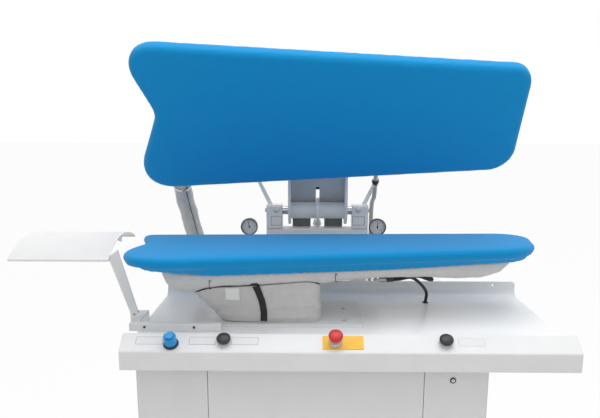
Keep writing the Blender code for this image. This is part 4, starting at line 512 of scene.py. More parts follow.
def thicken(piece, thickness, offset):
    wall = piece.modifiers.new("Wall", "SOLIDIFY")
    wall.thickness = thickness
    wall.offset = offset


def turnFaces(bm, axis, lowest=True):  # the lowest or the first face along an axis looks down that axis
    bmesh.ops.recalc_face_normals(bm, faces=bm.faces)
    face = min(bm.faces, key=lambda f: f.calc_center_median()[axis]) if lowest else bm.faces[:][0]
    if face.normal[axis] > 0:
        bmesh.ops.reverse_faces(bm, faces=bm.faces)


def bevelEdges(bm, edges, width, segments=2):
    bmesh.ops.bevel(bm, geom=edges, offset=width, offset_type="OFFSET", segments=segments, profile=0.5,
                    affect="EDGES", clamp_overlap=True, material=-1)


def disc(radius, depth, segments=24, bevel=0.0):
    bm = bmesh.new()
    bmesh.ops.create_cone(bm, cap_ends=True, segments=segments, radius1=radius, radius2=radius, depth=depth)
    shift(bm, (0, 0, depth / 2))
    if bevel:
        bevelEdges(bm, [e for e in bm.edges if all(v.co.z > depth * 0.9 for v in e.verts)], bevel)
    return bm


def slab(low, high, bevel=0.0, material=0):
    bm = bmesh.new()
    bmesh.ops.create_cube(bm, size=1)
    bmesh.ops.scale(bm, vec=[b - a for a, b in zip(low, high)], verts=bm.verts)
    shift(bm, [(a + b) / 2 for a, b in zip(low, high)])
    if bevel:
        bevelEdges(bm, bm.edges[:], bevel)
    for face in bm.faces:
        face.material_index = material
    return bm


def turnedShape(profile, steps=24):  # (radius, height) points spun about Z
    bm = bmesh.new()
    verts = [bm.verts.new((r, 0, z)) for r, z in profile]
    edges = [bm.edges.new(pair) for pair in zip(verts, verts[1:])]
    bmesh.ops.spin(bm, geom=verts + edges, cent=(0, 0, 0), axis=(0, 0, 1), angle=2 * math.pi, steps=steps,
                   use_merge=True)
    bmesh.ops.remove_doubles(bm, verts=bm.verts, dist=0.000005)
    bmesh.ops.recalc_face_normals(bm, faces=bm.faces)
    return bm


def hexBolt(radius, height, washer=True):
    bm = bmesh.new()
    if washer:
        merge(bm, disc(radius * 1.45, height * 0.18, 24, height * 0.05))
    merge(bm, disc(radius, height, 6, height * 0.15), at(0, 0, height * 0.18 if washer else 0))
    return bm


def capScrew(radius, height):  # a round head with a hexagon socket
    bm = disc(radius, height, 18, height * 0.15)
    top = max(bm.faces, key=lambda f: (f.calc_center_median().z, f.calc_area()))
    bmesh.ops.inset_region(bm, faces=[top], thickness=radius * 0.45, depth=0)
    sunk = bmesh.ops.extrude_face_region(bm, geom=[top])
    bmesh.ops.translate(bm, vec=(0, 0, -height * 0.5), verts=vertsIn(sunk["geom"]))
    bmesh.ops.delete(bm, geom=[top], context="FACES")
    return bm


def prism(corners, segments, low, high):  # (x, y, radius) corners raised into a solid
    bm = bmesh.new()
    verts = [bm.verts.new((x, y, 0)) for x, y, _ in corners]
    bmesh.ops.contextual_create(bm, geom=verts)
    for i, (x, y, radius) in enumerate(corners):
        here = Vector((x, y))
        before = (Vector(corners[i - 1][:2]) - here).normalized()
        after = (Vector(corners[(i + 1) % len(corners)][:2]) - here).normalized()
        offset = radius / math.tan(before.angle(after) / 2)
        bmesh.ops.bevel(bm, geom=[verts[i]], offset=offset, offset_type="OFFSET", segments=segments,
                        profile=0.5, affect="VERTICES", clamp_overlap=False, material=-1)
    bmesh.ops.recalc_face_normals(bm, faces=bm.faces)
    if bm.faces[:][0].normal.z < 0:
        bmesh.ops.reverse_faces(bm, faces=bm.faces)
    shift(bm, (0, 0, low))
    raised = bmesh.ops.extrude_face_region(bm, geom=bm.faces[:])
    bmesh.ops.translate(bm, vec=(0, 0, high - low), verts=vertsIn(raised["geom"]))
    bmesh.ops.recalc_face_normals(bm, faces=bm.faces)
    return bm


def framedLabel(width, height, line, thickness=0.0003):  # a blank label with a printed border
    bm = bmesh.new()
    corners = [(x * width / 2, y * height / 2, line) for x, y in ((-1, -1), (1, -1), (1, 1), (-1, 1))]
    merge(bm, prism(corners, 3, 0, thickness))
    top = max(bm.faces, key=lambda f: f.normal.z * f.calc_area())
    bmesh.ops.inset_region(bm, faces=[top], thickness=line, depth=0)
    for face in bm.faces:
        face.material_index = int(face == top)
    return bm


def smoothRoute(points, step):
    places = [Vector(p) for p in points]
    places = [2 * places[0] - places[1]] + places + [2 * places[-1] - places[-2]]
    fine = []
    for a, b, c, d in zip(places, places[1:], places[2:], places[3:]):
        for k in range(20):
            t = k / 20
            fine.append(0.5 * (2 * b + (c - a) * t + (2 * a - 5 * b + 4 * c - d) * t * t
                               + (3 * b - a - 3 * c + d) * t * t * t))
    fine.append(places[-2])
    lengths = [0.0]
    for a, b in zip(fine, fine[1:]):
        lengths.append(lengths[-1] + (b - a).length)
    count = max(2, round(lengths[-1] / step))
    route = []
    for k in range(count + 1):
        target = lengths[-1] * k / count
        i = min(max(j for j, length in enumerate(lengths) if length <= target + 1e-7), len(fine) - 2)
        route.append(fine[i].lerp(fine[i + 1], (target - lengths[i]) / (lengths[i + 1] - lengths[i])))
    return route, lengths[-1]


def growRings(bm, row, edges, rings):  # a row of points, each next row extruded from the one before
    rows = []
    for i, ring in enumerate(rings):
        if i:
            grown = bmesh.ops.extrude_edge_only(bm, edges=edges)["geom"]
            fresh = set(vertsIn(grown))
            row = [next(n for n in (e.other_vert(v) for e in v.link_edges) if n in fresh) for v in row]
            edges = [e for e in grown if isinstance(e, bmesh.types.BMEdge)
                     and all(v in fresh for v in e.verts)]
        for v, place in zip(row, ring):
            v.co = place
        rows.append(row)
    return rows


def aheadAt(route, i):
    return (route[min(i + 1, len(route) - 1)] - route[max(i - 1, 0)]).normalized()


def sweepTube(route, radiusAt, sides=24):  # a ring carried along a route, with UV in metres
    bm = bmesh.new()
    uvKey = bm.verts.layers.float_vector.new("tubeUv")
    row = bmesh.ops.create_circle(bm, segments=sides, radius=1.0)["verts"]
    unit = [v.co.copy() for v in row]
    turn = aheadAt(route, 0).to_track_quat("Z", "Y")
    along, rings = [0.0], []
    for i, centre in enumerate(route):
        if i:
            along.append(along[-1] + (centre - route[i - 1]).length)
            turn = aheadAt(route, i - 1).rotation_difference(aheadAt(route, i)) @ turn
        rings.append([centre + turn @ (unit[k] * radiusAt(i / (len(route) - 1), k / sides))
                      for k in range(sides)])
    for i, row in enumerate(growRings(bm, row, bm.edges[:], rings)):
        for k, v in enumerate(row):
            v[uvKey] = (k / sides, along[i], 0)
    bmesh.ops.holes_fill(bm, edges=[e for e in bm.edges if e.is_boundary], sides=0)
    bmesh.ops.recalc_face_normals(bm, faces=bm.faces)
    around = 2 * math.pi * radiusAt(0.5, 0)
    uvMap = bm.loops.layers.uv.new("UVMap")
    for face in bm.faces:
        us = [loop.vert[uvKey].x for loop in face.loops]
        wraps = max(us) - min(us) > 0.5 and len(us) < 6
        for loop in face.loops:
            u = loop.vert[uvKey].x
            loop[uvMap].uv = ((u + 1 if wraps and u < 0.5 else u) * around, loop.vert[uvKey].y)
    return bm


def boxUv(mesh, frameMatrix):  # UV in metres, from the side each face looks to
    inverse = frameMatrix.inverted()
    turn = inverse.to_3x3()
    layer = mesh.uv_layers.get("UVMap") or mesh.uv_layers.new(name="UVMap")
    for polygon in mesh.polygons:
        normal = turn @ polygon.normal
        axis = max(range(3), key=lambda i: abs(normal[i]))
        for loopIndex in polygon.loop_indices:
            p = inverse @ mesh.vertices[mesh.loops[loopIndex].vertex_index].co
            layer.data[loopIndex].uv = [(p.y, p.z), (p.x, p.z), (p.x, p.y)][axis]


def between(table, x):
    for (a, low), (b, high) in zip(table, table[1:]):
        if x < b:
            return low + (high - low) * min(max((x - a) / (b - a), 0), 1)
    return table[-1][1]


print("helpers ready")


# Hoses
def opened(x, y, z):
    return (onHead @ Vector((x, y, z))) - layout["corner"]


hoseSettings = {
    "steam": {"piece": "steamHoseSleeve", "node": "steam_hose", "finish": ("sleeve", "grey_cloth"),
              "radius": 0.032,
              "points": [(-0.445, 0.6015, 1.0905), (-0.445, 0.6394, 1.0320), (-0.400, 0.690, 0.7939),
                         (-0.400, 0.690, 0.7039)],
              "step": 0.0065, "sides": 48, "stiffness": "stiff", "seamSide": (0.55, -1.0, 0.1),
              "slack": 0.0022, "folds": [(0.19, 0.0016, 0.020), (0.34, 0.0014, 0.016), (0.63, 0.0030, 0.020),
                        (0.72, -0.0020, 0.030)]},
    "air": {"piece": "airHoseLine", "node": "air_hose", "finish": ("hoseGrey", "hose_grey"),
            "radius": 0.0075,
            "points": [opened(0.216, -0.1147, 0.0226), opened(0.216, -0.045, 0.0226), (0.212, 0.688, 0.9739),
                       (0.212, 0.688, 0.7039)], "step": 0.004, "sides": 20, "stiffness": "medium"},
    "drain": {"piece": "drainHoseLine", "node": "drain_hose", "finish": ("hoseBlack", "black_rubber"),
              "radius": 0.005,
              "points": [(0.2423, 0.300, 0.81356), (0.2673, 0.300, 0.81556), (0.3123, 0.320, 0.81456),
                         (0.372, 0.430, 0.7468), (0.372, 0.430, 0.7068)],
              "step": 0.003, "sides": 18, "stiffness": "medium", "body": "press_frame",
              "lead": Vector((1, 0, 0))},
}


def hoseRadius(s, share, around):
    if "folds" not in s:
        return s["radius"]
    fold = 0.0
    for place, depth, width in s["folds"]:
        slant = 0.03 * math.sin(2 * math.pi * (around + 0.15))
        fold += depth * math.exp(-((share + slant - place) / width) ** 2)
    ripple = 0.0010 * math.sin(9 * math.pi * share + 5 * math.sin(2 * math.pi * around))
    ripple += 0.0008 * noise.noise((around * 6, share * 14, 3.1))
    return s["radius"] - s["slack"] + fold + ripple


def hoseSeam(s, route):
    seamRoute = []
    for i, place in enumerate(route):
        ahead = aheadAt(route, i)
        side = Vector(s["seamSide"])
        side = (side - ahead * side.dot(ahead)).normalized()
        seamRoute.append(place + side * (hoseRadius(s, i / (len(route) - 1), 0.4) + 0.0002))
    seam = addPiece(sweepTube(seamRoute, lambda share, around: 0.0013, 8), "steamHoseSeam", None, "strap",
                    "black_rubber", same, 60)
    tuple(route[0])
    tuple(route[-1])
    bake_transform(seam)
    return seam


def makeHose(s):
    points = [Vector(p) for p in s["points"]]
    route, length = smoothRoute(points, s["step"])
    lead = s["lead"] if "lead" in s else points[1] - points[0]
    route[1] = route[0] + lead.normalized() * (route[1] - route[0]).length
    route[-2] = route[-1] + up * (route[-2] - route[-1]).length
    route = [layout["corner"] + p for p in route]
    bm = sweepTube(route, lambda share, around: hoseRadius(s, share, around), s["sides"])
    piece = addPiece(bm, s["piece"], s.get("body"), *s["finish"], same, 60)
    if "body" not in s:
        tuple(route[0])
        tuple(route[-1])
        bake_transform(piece)
    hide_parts(s["node"])
    extra = {"with_pieces": [hoseSeam(s, route)]} if "seamSide" in s else {}
    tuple(route[0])
    s["route"] = route
    print(s["piece"], "made, length", round(length, 4))


for settings in hoseSettings.values():
    makeHose(settings)

# Padded covers of the buck and the head: a filled outline, swollen as cloth, its edge then drawn to shape.
# Each corner of a plan is its place across, its distance ahead of the shaft and its radius
headCoverSettings = {
    "plan": {"rearLeft": (-0.598, 0.097, 0.095), "rearRight": (0.646, 0.185, 0.085),
             "frontRight": (0.642, 0.551, 0.060), "frontLeft": (-0.573, 0.626, 0.080),
             "notch": (-0.484, 0.390, 0.060)},
    "low": -0.051, "top": 0.0073, "lead": 0.020, "edge": 0.016, "tuck": 0.016, "inset": 0.0022,
    "voxel": 0.008,
    "pressure": 4.0, "cap": 0.0028, "gathers": 0.0014, "slackSide": 1}
buckCoverSettings = {
    "plan": {"rearLeft": (-0.5505, 0.195, 0.035), "rearRight": (0.7055, 0.141, 0.095),
             "frontRight": (0.6585, 0.426, 0.130), "frontLeft": (-0.5965, 0.6445, 0.147),
             "notch": (-0.5015, 0.350, 0.034)},
    "low": 0.8716, "top": 0.930, "lead": 0.0, "edge": 0.007, "tuck": 0.006, "inset": 0.0022, "voxel": 0.007,
    "pressure": 4.0, "cap": 0.0026, "gathers": 0.0009, "slackSide": -1, "foot": 0.8994, "pull": 0.007,
    "crown": [(0.0, 0.9120), (0.0008, 0.9185), (0.0036, 0.9238), (0.0095, 0.9269), (0.029, 0.9290),
              (0.12, 0.9298), (0.60, 0.9298)],
    "under": [(1.0, 0.0), (0.86, 0.24), (0.60, 0.72)],
    "tuckAt": [(-0.50, 0.070), (-0.41, 0.068), (-0.37, 0.062), (-0.324, 0.048), (-0.277, 0.027),
               (-0.09, 0.027), (0.05, 0.031), (0.25, 0.033), (0.60, 0.034)],
    "middle": 0.16}
rimRise = [(-0.50, 0.006), (-0.42, 0.004), (-0.37, 0.002), (-0.32, 0.0), (0.20, 0.0), (0.30, 0.002),
           (0.42, 0.006),
           (0.50, 0.008), (0.60, 0.009)]  # how far the laced edge climbs towards the ends


def padOutline(plan, lead, inset):  # corners of the pad seen from above, moved in
    corners = [(x, -ahead - lead, radius) for x, ahead, radius in plan.values()]
    moved = []
    for i in range(len(corners)):
        before, here, after = [Vector(corners[k % len(corners)][:2]) for k in (i - 1, i, i + 1)]
        lines = []
        for a, b in ((before, here), (here, after)):
            along = (b - a).normalized()
            lines.append((a + Vector((along.y, -along.x)) * inset, along))
        (p, d), (q, e) = lines
        t = ((q - p).x * e.y - (q - p).y * e.x) / (d.x * e.y - d.y * e.x)
        place = p + d * t
        concave = (here - before).cross(after - here) > 0
        moved.append((place.x, place.y, corners[i][2] + (inset if concave else -inset)))
    return moved


def swell(piece, s):  # remesh, cloth pressure, cap, one subdivision
    scene.frame_set(1)
    remesh = piece.modifiers.new("Remesh", "REMESH")
    remesh.mode = "VOXEL"
    remesh.voxel_size = s["voxel"]
    remesh.use_smooth_shade = True
    start = evaluated(piece)
    piece.modifiers.clear()
    piece.data = start
    rest = [v.co.copy() for v in start.vertices]
    swelling = piece.modifiers.new("Cloth", "CLOTH")
    swelling.settings.use_pressure = True
    swelling.settings.uniform_pressure_force = s["pressure"]
    swelling.settings.effector_weights.gravity = 0
    swelling.settings.quality = 4
    for number in range(1, 21):
        scene.frame_set(number)
    swollen = evaluated(piece)
    piece.modifiers.clear()
    piece.data = swollen
    for v, before in zip(swollen.vertices, rest):
        step = v.co - before
        if step.length > s["cap"]:
            v.co = before + step.normalized() * s["cap"]
    scene.frame_set(1)
    bm = bmesh.new()
    bm.from_mesh(piece.data)
    bmesh.ops.smooth_vert(bm, verts=bm.verts, factor=0.5, use_axis_x=True, use_axis_y=True, use_axis_z=True)
    bmesh.ops.subdivide_edges(bm, edges=bm.edges, cuts=1, use_grid_fill=True)
    bmesh.ops.smooth_vert(bm, verts=bm.verts, factor=0.5, use_axis_x=True, use_axis_y=True, use_axis_z=True)
    bm.to_mesh(piece.data)
    bm.free()


def nearestOnLine(points, place):
    best, bestFar = None, 1e9
    for a, b in zip(points, points[1:]):
        step = b - a
        t = min(max((place - a).dot(step) / step.length_squared, 0), 1)
        here = a + step * t
        if (here - place).length_squared < bestFar:
            best, bestFar = here, (here - place).length_squared
    return best


def drawEdge(mesh, s):  # a sharp upper edge, and a skirt drawn in below
    # The outline stood up tall, to measure in from
    bm = prism(padOutline(s["plan"], s["lead"], 0.0), 12, -1, 1)
    wall = BVHTree.FromBMesh(bm)
    bm.free()
    for v in mesh.vertices:
        flat = Vector((v.co.x, v.co.y, 0))
        near, normal, _, far = wall.find_nearest(flat)
        outward = normal if far < 0.0001 else (near - flat).normalized()
        if outward.dot(normal) < 0:
            outward, far = -outward, -far
        facing = 0.30 + 0.70 * (0.5 - 0.5 * outward.y)
        tuck = between(s["tuckAt"], v.co.x) * facing
        if far > tuck + s["middle"]:
            if v.co.z > s["foot"]:
                v.co.z = s["crown"][-1][1]
            continue
        raised = between(rimRise, v.co.x)
        depth = s["foot"] - s["low"]
        line = [Vector((0.60, s["low"])), Vector((tuck + 0.06, s["low"]))]
        line += [Vector((tuck * a, s["low"] + raised * (1 - b) + depth * b)) for a, b in s["under"]]
        line += [Vector((s["pull"], s["foot"]))] + [Vector(p) for p in s["crown"]]
        drawn = nearestOnLine(line, Vector((far, v.co.z)))
        soft = noise.noise(v.co * 14) * 0.0005
        v.co.x += outward.x * (far - drawn.x + soft)
        v.co.y += outward.y * (far - drawn.x + soft)
        v.co.z = drawn.y


def padCover(name, body, s, matrix, *stoodFor):  # slackSide is +1 where the laced rim is on top
    low, top = s["low"] + s["inset"], s["top"] - s["inset"]
    bm = prism(padOutline(s["plan"], s["lead"], s["inset"]), 10, low, top)
    rims = (top, low) if s["slackSide"] < 0 else (low, top)
    for height, width in zip(rims, (s["edge"], s["tuck"])):
        bevelEdges(bm, [e for e in bm.edges if all(abs(v.co.z - height) < 0.0001 for v in e.verts)], width,
                   4)
    piece = newObject(name, meshFrom(bm, name))
    swell(piece, s)
    if "under" in s:
        drawEdge(piece.data, s)
    half = (s["low"] + s["top"]) / 2
    centre = Vector((0.02, -0.36))
    for v in piece.data.vertices:  # gathers in the laced rim, and the height kept
        depth = (v.co.z - half) * s["slackSide"] / (half - s["low"])
        if depth > 0.35:
            around = math.atan2(v.co.y - centre.y, (v.co.x - centre.x) * 0.42)
            wave = math.sin(around * 96) * 0.6 + math.sin(around * 61 + 1.3) * 0.4
            share = min(1.0, (depth - 0.35) / 0.4)
            v.co.z -= s["slackSide"] * s["gathers"] * share * (1 + wave)
        v.co.z = min(max(v.co.z, s["low"] + 0.0001), s["top"] - 0.0001)
    piece.data.transform(matrix)
    boxUv(piece.data, matrix)
    piece.data.shade_smooth()
    piece.data.materials.clear()
    piece.data.materials.append(finishes["blueCloth"])
    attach(piece, body)
    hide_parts(*stoodFor)
    print(name, "made:", len(piece.data.polygons), "faces")


padCover("buckCover", "press_frame", buckCoverSettings, standing @ at(0, layout["pivotY"], 0), "buck_pad",
         "buck_plate")
padCover("headCoverCloth", "pressing_head", headCoverSettings, onHead, "head_pad", "head_platen")

# Grey cloth under the buck and round its duct. A station is x, depth, front and rear
underSettings = {"top": 0.8711, "grow": 0.0041, "power": 0.75, "sag": 0.8, "wall": 0.0026, "stepX": 0.010,
                 "around": 44, "stations": [(-0.432, 0.014, 0.170, 0.385), (-0.420, 0.048, 0.140, 0.400),
                              (-0.400, 0.061, 0.125, 0.412), (-0.370, 0.071, 0.115, 0.418),
                              (-0.335, 0.066, 0.110, 0.420), (-0.300, 0.054, 0.108, 0.422),
                              (-0.265, 0.048, 0.107, 0.424), (0.030, 0.048, 0.152, 0.436),
                              (0.080, 0.040, 0.162, 0.438), (0.200, 0.034, 0.183, 0.440),
                              (0.330, 0.036, 0.206, 0.440), (0.420, 0.044, 0.222, 0.438),
                              (0.500, 0.044, 0.236, 0.432), (0.560, 0.030, 0.255, 0.415),
                              (0.592, 0.010, 0.290, 0.390)],
                 "opening": (-0.238, 0.013, 0.187, 0.383), "endDepth": 0.75, "endWidth": 0.94}
ductSettings = {"foot": (-0.262, 0.028, 0.172, 0.400), "head": (-0.345, 0.024, 0.150, 0.420), "low": 0.7151,
                "power": 0.30, "levels": 34, "around": 88, "wall": 0.0045, "gap": 0.0042, "overlap": 0.0049}


def stationAt(x):
    stations = underSettings["stations"]
    for a, b in zip(stations, stations[1:]):
        if x <= b[0]:
            t = min(max((x - a[0]) / (b[0] - a[0]), 0), 1)
            t = t * t * (3 - 2 * t) * 0.35 + t * 0.65
            return [p + (q - p) * t for p, q in zip(a[1:], b[1:])]
    return list(stations[-1][1:])


def underside(x, y, grow):  # height of the wrapped chamber's lower face
    depth, front, rear = stationAt(x)
    half = (rear - front) / 2 + grow
    across = min(abs(y - (front + rear) / 2) / half, 0.9999)
    cosine = across ** (1 / underSettings["power"])
    return underSettings["top"] - (depth + grow) * math.sqrt(1 - cosine * cosine) ** underSettings["sag"]


def squared(value, power):
    return math.copysign(abs(value) ** power, value)


def chamberWrapRings(s):
    stations = s["stations"]
    first, last = stations[0][0] - s["grow"], stations[-1][0] + s["grow"]
    count = round((last - first) / s["stepX"])
    rings = []
    for i in range(count + 1):
        x = first + (last - first) * i / count
        depth, front, rear = stationAt(min(max(x, stations[0][0]), stations[-1][0]))
        end = s["endDepth"] if i in (0, count) else 1.0
        half = ((rear - front) / 2 + s["grow"]) * (s["endWidth"] if i in (0, count) else 1.0)
        ring = []
        for k in range(s["around"] + 1):
            angle = math.pi * k / s["around"]
            place = Vector((x, (front + rear) / 2 - half * squared(math.cos(angle), s["power"]),
                            s["top"] - (depth + s["grow"]) * end * math.sin(angle) ** s["sag"]))
            soft = noise.noise(place * 22) * 0.0016 + noise.noise(place * 60) * 0.0006
            pleat = 0.0009 * math.sin(place.x * 90 + 3 * noise.noise(place * 9)) * math.sin(angle)
            place.z -= max(0.0, soft + pleat + 0.0006) * math.sin(angle)
            place.z += between(rimRise, x) * (1 - math.sin(angle)) ** 2
            ring.append(place)
        rings.append(ring)
    return rings


def greyWrap(bm, name, axis, sharp, s, fill, *stoodFor):  # returns the cloth's faces in local places
    turnFaces(bm, axis)
    piece = addPiece(bm, name, "press_frame", "greyCloth", "grey_cloth", standing, sharp, False)
    thicken(piece, s["wall"], -1)
    boxUv(piece.data, standing)
    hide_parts(*stoodFor)
    return BVHTree.FromPolygons([v.co - layout["corner"] for v in piece.data.vertices],
                                [tuple(p.vertices) for p in piece.data.polygons])


def makeChamberWrap(s):
    rings = chamberWrapRings(s)
    bm = bmesh.new()
    row = [bm.verts.new(p) for p in rings[0]]
    growRings(bm, row, [bm.edges.new(pair) for pair in zip(row, row[1:])], rings)
    left, right, front, rear = s["opening"]
    inside = []
    for face in bm.faces:
        x, y, z = face.calc_center_median()
        if left < x < right and front < y < rear and z < s["top"] - 0.03:
            inside.append(face)
    bmesh.ops.delete(bm, geom=inside, context="FACES")
    for x in {min(v.co.x for v in bm.verts), max(v.co.x for v in bm.verts)}:
        rim = [e for e in bm.edges if e.is_boundary and all(abs(v.co.x - x) < 1e-6 for v in e.verts)]
        bmesh.ops.contextual_create(bm, geom=rim)
    return greyWrap(bm, "chamberWrapCloth", 2, 70, s, 0.2, "chamber_wrap", "buck_chamber")


def ductRing(share, s):
    left, right, front, rear = [a + (b - a) * share ** 0.8 for a, b in zip(s["foot"], s["head"])]
    ring = []
    for k in range(s["around"]):
        angle = 2 * math.pi * k / s["around"]
        across, along = squared(math.cos(angle), s["power"]), squared(math.sin(angle), s["power"])
        x = (left + right) / 2 + (right - left) / 2 * across
        y = (front + rear) / 2 + (rear - front) / 2 * along
        high = underside(x, y, s["overlap"]) - s["gap"]
        z = s["low"] + (high - s["low"]) * share
        drift = noise.noise(Vector((x * 7, y * 7, 0.3))) * 1.6
        fold = 0.0017 * math.sin(share * 19 + drift + 1.4 * math.sin(angle))
        fold *= math.sin(math.pi * min(share * 1.2, 1))
        fold += 0.0010 * math.sin(share * 43 + 3 * drift) * (1 - abs(share - 0.5))
        bunch = 0.0022 * math.sin(share * 60 + 2 * drift) * max(0.0, 1 - share * 5)
        bunch *= 1 if x < -0.12 else 0.3
        fold += bunch + noise.noise(Vector((x * 30, y * 30, z * 30))) * 0.0007
        ring.append(Vector((x + fold * across, y + fold * along, z)))
    return ring


def makeDuctWrap(s):
    bm = bmesh.new()
    row = bmesh.ops.create_circle(bm, segments=s["around"], radius=1)["verts"]
    growRings(bm, row, bm.edges[:], [ductRing(i / s["levels"], s) for i in range(s["levels"] + 1)])
    return greyWrap(bm, "ductWrapCloth", 1, 80, s, 0.3, "duct_wrap")


chamberFront = makeChamberWrap(underSettings)
ductFront = makeDuctWrap(ductSettings)
print("grey cloth made")


def frontOf(x, z, *trees):  # y of the nearest grey cloth, seen from the front
    found = [tree.ray_cast(Vector((x, -1, z)), Vector((0, 1, 0)))[0]
             for tree in trees or (ductFront, chamberFront)]
    return min([place.y for place in found if place] or [0.15])


def clothGrid(name, finish, slotName, columns, rows, thickness, placeAt):
    bm = bmesh.new()
    bmesh.ops.create_grid(bm, x_segments=columns, y_segments=rows, size=1)
    uvMap = bm.loops.layers.uv.new("UVMap")
    for v in bm.verts:
        v.co = placeAt(v.co.x, v.co.y)
    for face in bm.faces:
        for loop in face.loops:
            loop[uvMap].uv = (loop.vert.co.x, loop.vert.co.z)
    turnFaces(bm, 1, False)
    piece = addPiece(bm, name, "press_frame", finish, slotName, standing, 80, False)
    thicken(piece, thickness, 1)
    return piece


# The strap on the duct wrap, bunched at its top
strapSettings = {"foot": (-0.1400, 0.7195), "top": (-0.1650, 0.8390), "width": 0.0185, "thickness": 0.0016,
                 "rows": 44, "lift": 0.0012, "bow": 0.0055, "bunchFrom": 0.78, "bunch": 0.0035}


def makeStrap(s):
    def placeAt(across, rise):
        share = (rise + 1) / 2
        bow = s["bow"] * math.sin(math.pi * share)
        x = s["foot"][0] + (s["top"][0] - s["foot"][0]) * share ** 1.5 + bow
        x += across * s["width"] / 2 * (1 + 0.10 * share)
        z = s["foot"][1] + (s["top"][1] - s["foot"][1]) * share
        bunch = max(0.0, share - s["bunchFrom"]) / (1 - s["bunchFrom"])
        lift = s["lift"] + s["bunch"] * bunch * (1 + math.sin(share * 120 + across * 1.5)) / 2
        return x, frontOf(x, z) - lift, z + 0.002 * bunch * across
    piece = clothGrid("wrapStrapWebbing", "strap", "black_rubber", 4, s["rows"], s["thickness"], placeAt)
    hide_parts("wrap_strap")


makeStrap(strapSettings)
print("strap made")

# Blank textile label on the duct wrap, with its stitches
patchSettings = {"left": -0.249, "right": -0.207, "low": 0.7850, "high": 0.8240, "lift": 0.0014,
                 "stitch": 0.0026, "inset": 0.0025, "curl": 0.0012, "thickness": 0.0007}


def makePatch(s):
    def placeAt(across, rise):
        x = s["left"] + (s["right"] - s["left"]) * (across + 1) / 2
        z = s["low"] + (s["high"] - s["low"]) * (rise + 1) / 2
        curl = s["curl"] * max(0.0, across) ** 3 * max(0.0, -rise)
        return x, frontOf(x, z, ductFront) - s["lift"] - curl, z
    piece = clothGrid("wrapPatch", "patch", "grey_cloth", 14, 14, s["thickness"], placeAt)
    stitches = bmesh.new()
    left, right = s["left"] + s["inset"], s["right"] - s["inset"]
    low, high = s["low"] + s["inset"], s["high"] - s["inset"]
    corners = [(left, low), (right, low), (right, high), (left, high)]
    for (ax, az), (bx, bz) in zip(corners, corners[1:] + corners[:1]):
        count = round(math.hypot(bx - ax, bz - az) / s["stitch"])
        turn = Matrix.Rotation(-math.atan2(bz - az, bx - ax), 4, "Y")
        for k in range(count):
            x, z = ax + (bx - ax) * (k + 0.5) / count, az + (bz - az) * (k + 0.5) / count
            merge(stitches, slab((-0.0008, -0.00025, -0.0002), (0.0008, 0.00025, 0.0002)),
                  at(x, frontOf(x, z, ductFront) - s["lift"] - 0.0008, z, turn))
    thread = addPiece(stitches, "patchStitches", "press_frame", "labelLine", "grey_cloth")


makePatch(patchSettings)
print("label made")

# Gauges: dial, marks, glass and rim in each case
gaugeSettings = {"places": {"Left": (-0.219, 0.925), "Right": (0.230, 0.925)}, "floor": 0.634,
                 "case": 0.6258,
                 "inner": 0.0262, "hole": 0.0024, "thick": 0.0004, "sweep": 270, "glass": 0.6285,
                 "glassThick": 0.0012,
                 "marks": {True: (0.0185, 0.0004), False: (0.0206, 0.00018)}, "markEnd": 0.0228,
                 "figureAt": 0.0150, "figureSize": 0.0052,
                 "rim": [(0.0266, 0), (0.0264, 0.0008), (0.0272, 0.0017), (0.0286, 0.0019), (0.0297, 0.0012),
                         (0.0299, 0), (0.0266, 0)]}


def numeral(text, size):  # generic dial figures, made a mesh before placing
    curve = bpy.data.curves.new("figure", "FONT")
    curve.body = text
    curve.size = size
    curve.align_x = "CENTER"
    curve.align_y = "CENTER"
    curve.resolution_u = 2
    holder = newObject("figure", curve)
    mesh = evaluated(holder)
    bpy.data.objects.remove(holder)
    bm = bmesh.new()
    bm.from_mesh(mesh)
    bpy.data.meshes.remove(mesh)
    for face in bm.faces:
        face.material_index = 1
    return bm


def makeGauge(side, x, z, s):
    def seat(y):
        return Matrix.Translation(spot(x, y, z)) @ toFront
    face = bmesh.new()
    hole, inner, thick = s["hole"], s["inner"], s["thick"]
    merge(face, turnedShape([(hole, 0), (inner, 0), (inner, thick), (hole, thick), (hole, 0)], 48))
    for k in range(51):
        angle = math.radians(90 + s["sweep"] / 2 - s["sweep"] * k / 50)
        start, half = s["marks"][k % 5 == 0]
        merge(face, slab((start, -half, thick), (s["markEnd"], half, thick + 0.00012), 0, 1),
              Matrix.Rotation(angle, 4, "Z"))
        if k % 10 == 0:
            merge(face, numeral(str(k // 5), s["figureSize"]),
                  at(s["figureAt"] * math.cos(angle), s["figureAt"] * math.sin(angle), thick + 0.0001))
    bmesh.ops.transform(face, matrix=seat(s["floor"]), verts=face.verts)
    addPiece(face, "gaugeDial" + side, "press_frame", ["dial", "labelLine"], "grey_paint", same, 35, False)
    addPiece(disc(inner, s["glassThick"], 48), "gaugeGlass" + side, "press_frame", "glass", "steel",
             seat(s["glass"]))
    addPiece(turnedShape(s["rim"], 48), "gaugeRim" + side, "press_frame", "darkRim", "grey_paint",
             seat(s["case"]), 60)


for side, (x, z) in gaugeSettings["places"].items():
    makeGauge(side, x, z, gaugeSettings)
print("gauges made")

# Bearing housings: cap bolts and framed blank labels on their fronts, retaining caps on the shaft
housingSettings = {"front": 0.610, "bolts": [(-0.1224, 0.9867), (0.1608, 0.9877)], "boltRadius": 0.0078,
                   "labels": [(-0.1226, 0.9493, 0.0380, 0.0331), (0.1617, 0.9495, 0.0421, 0.0310)],
                   "line": 0.0015,
                   "caps": [(-0.154, -1), (0.191, 1)], "capRadius": 0.0185, "capThick": 0.003}


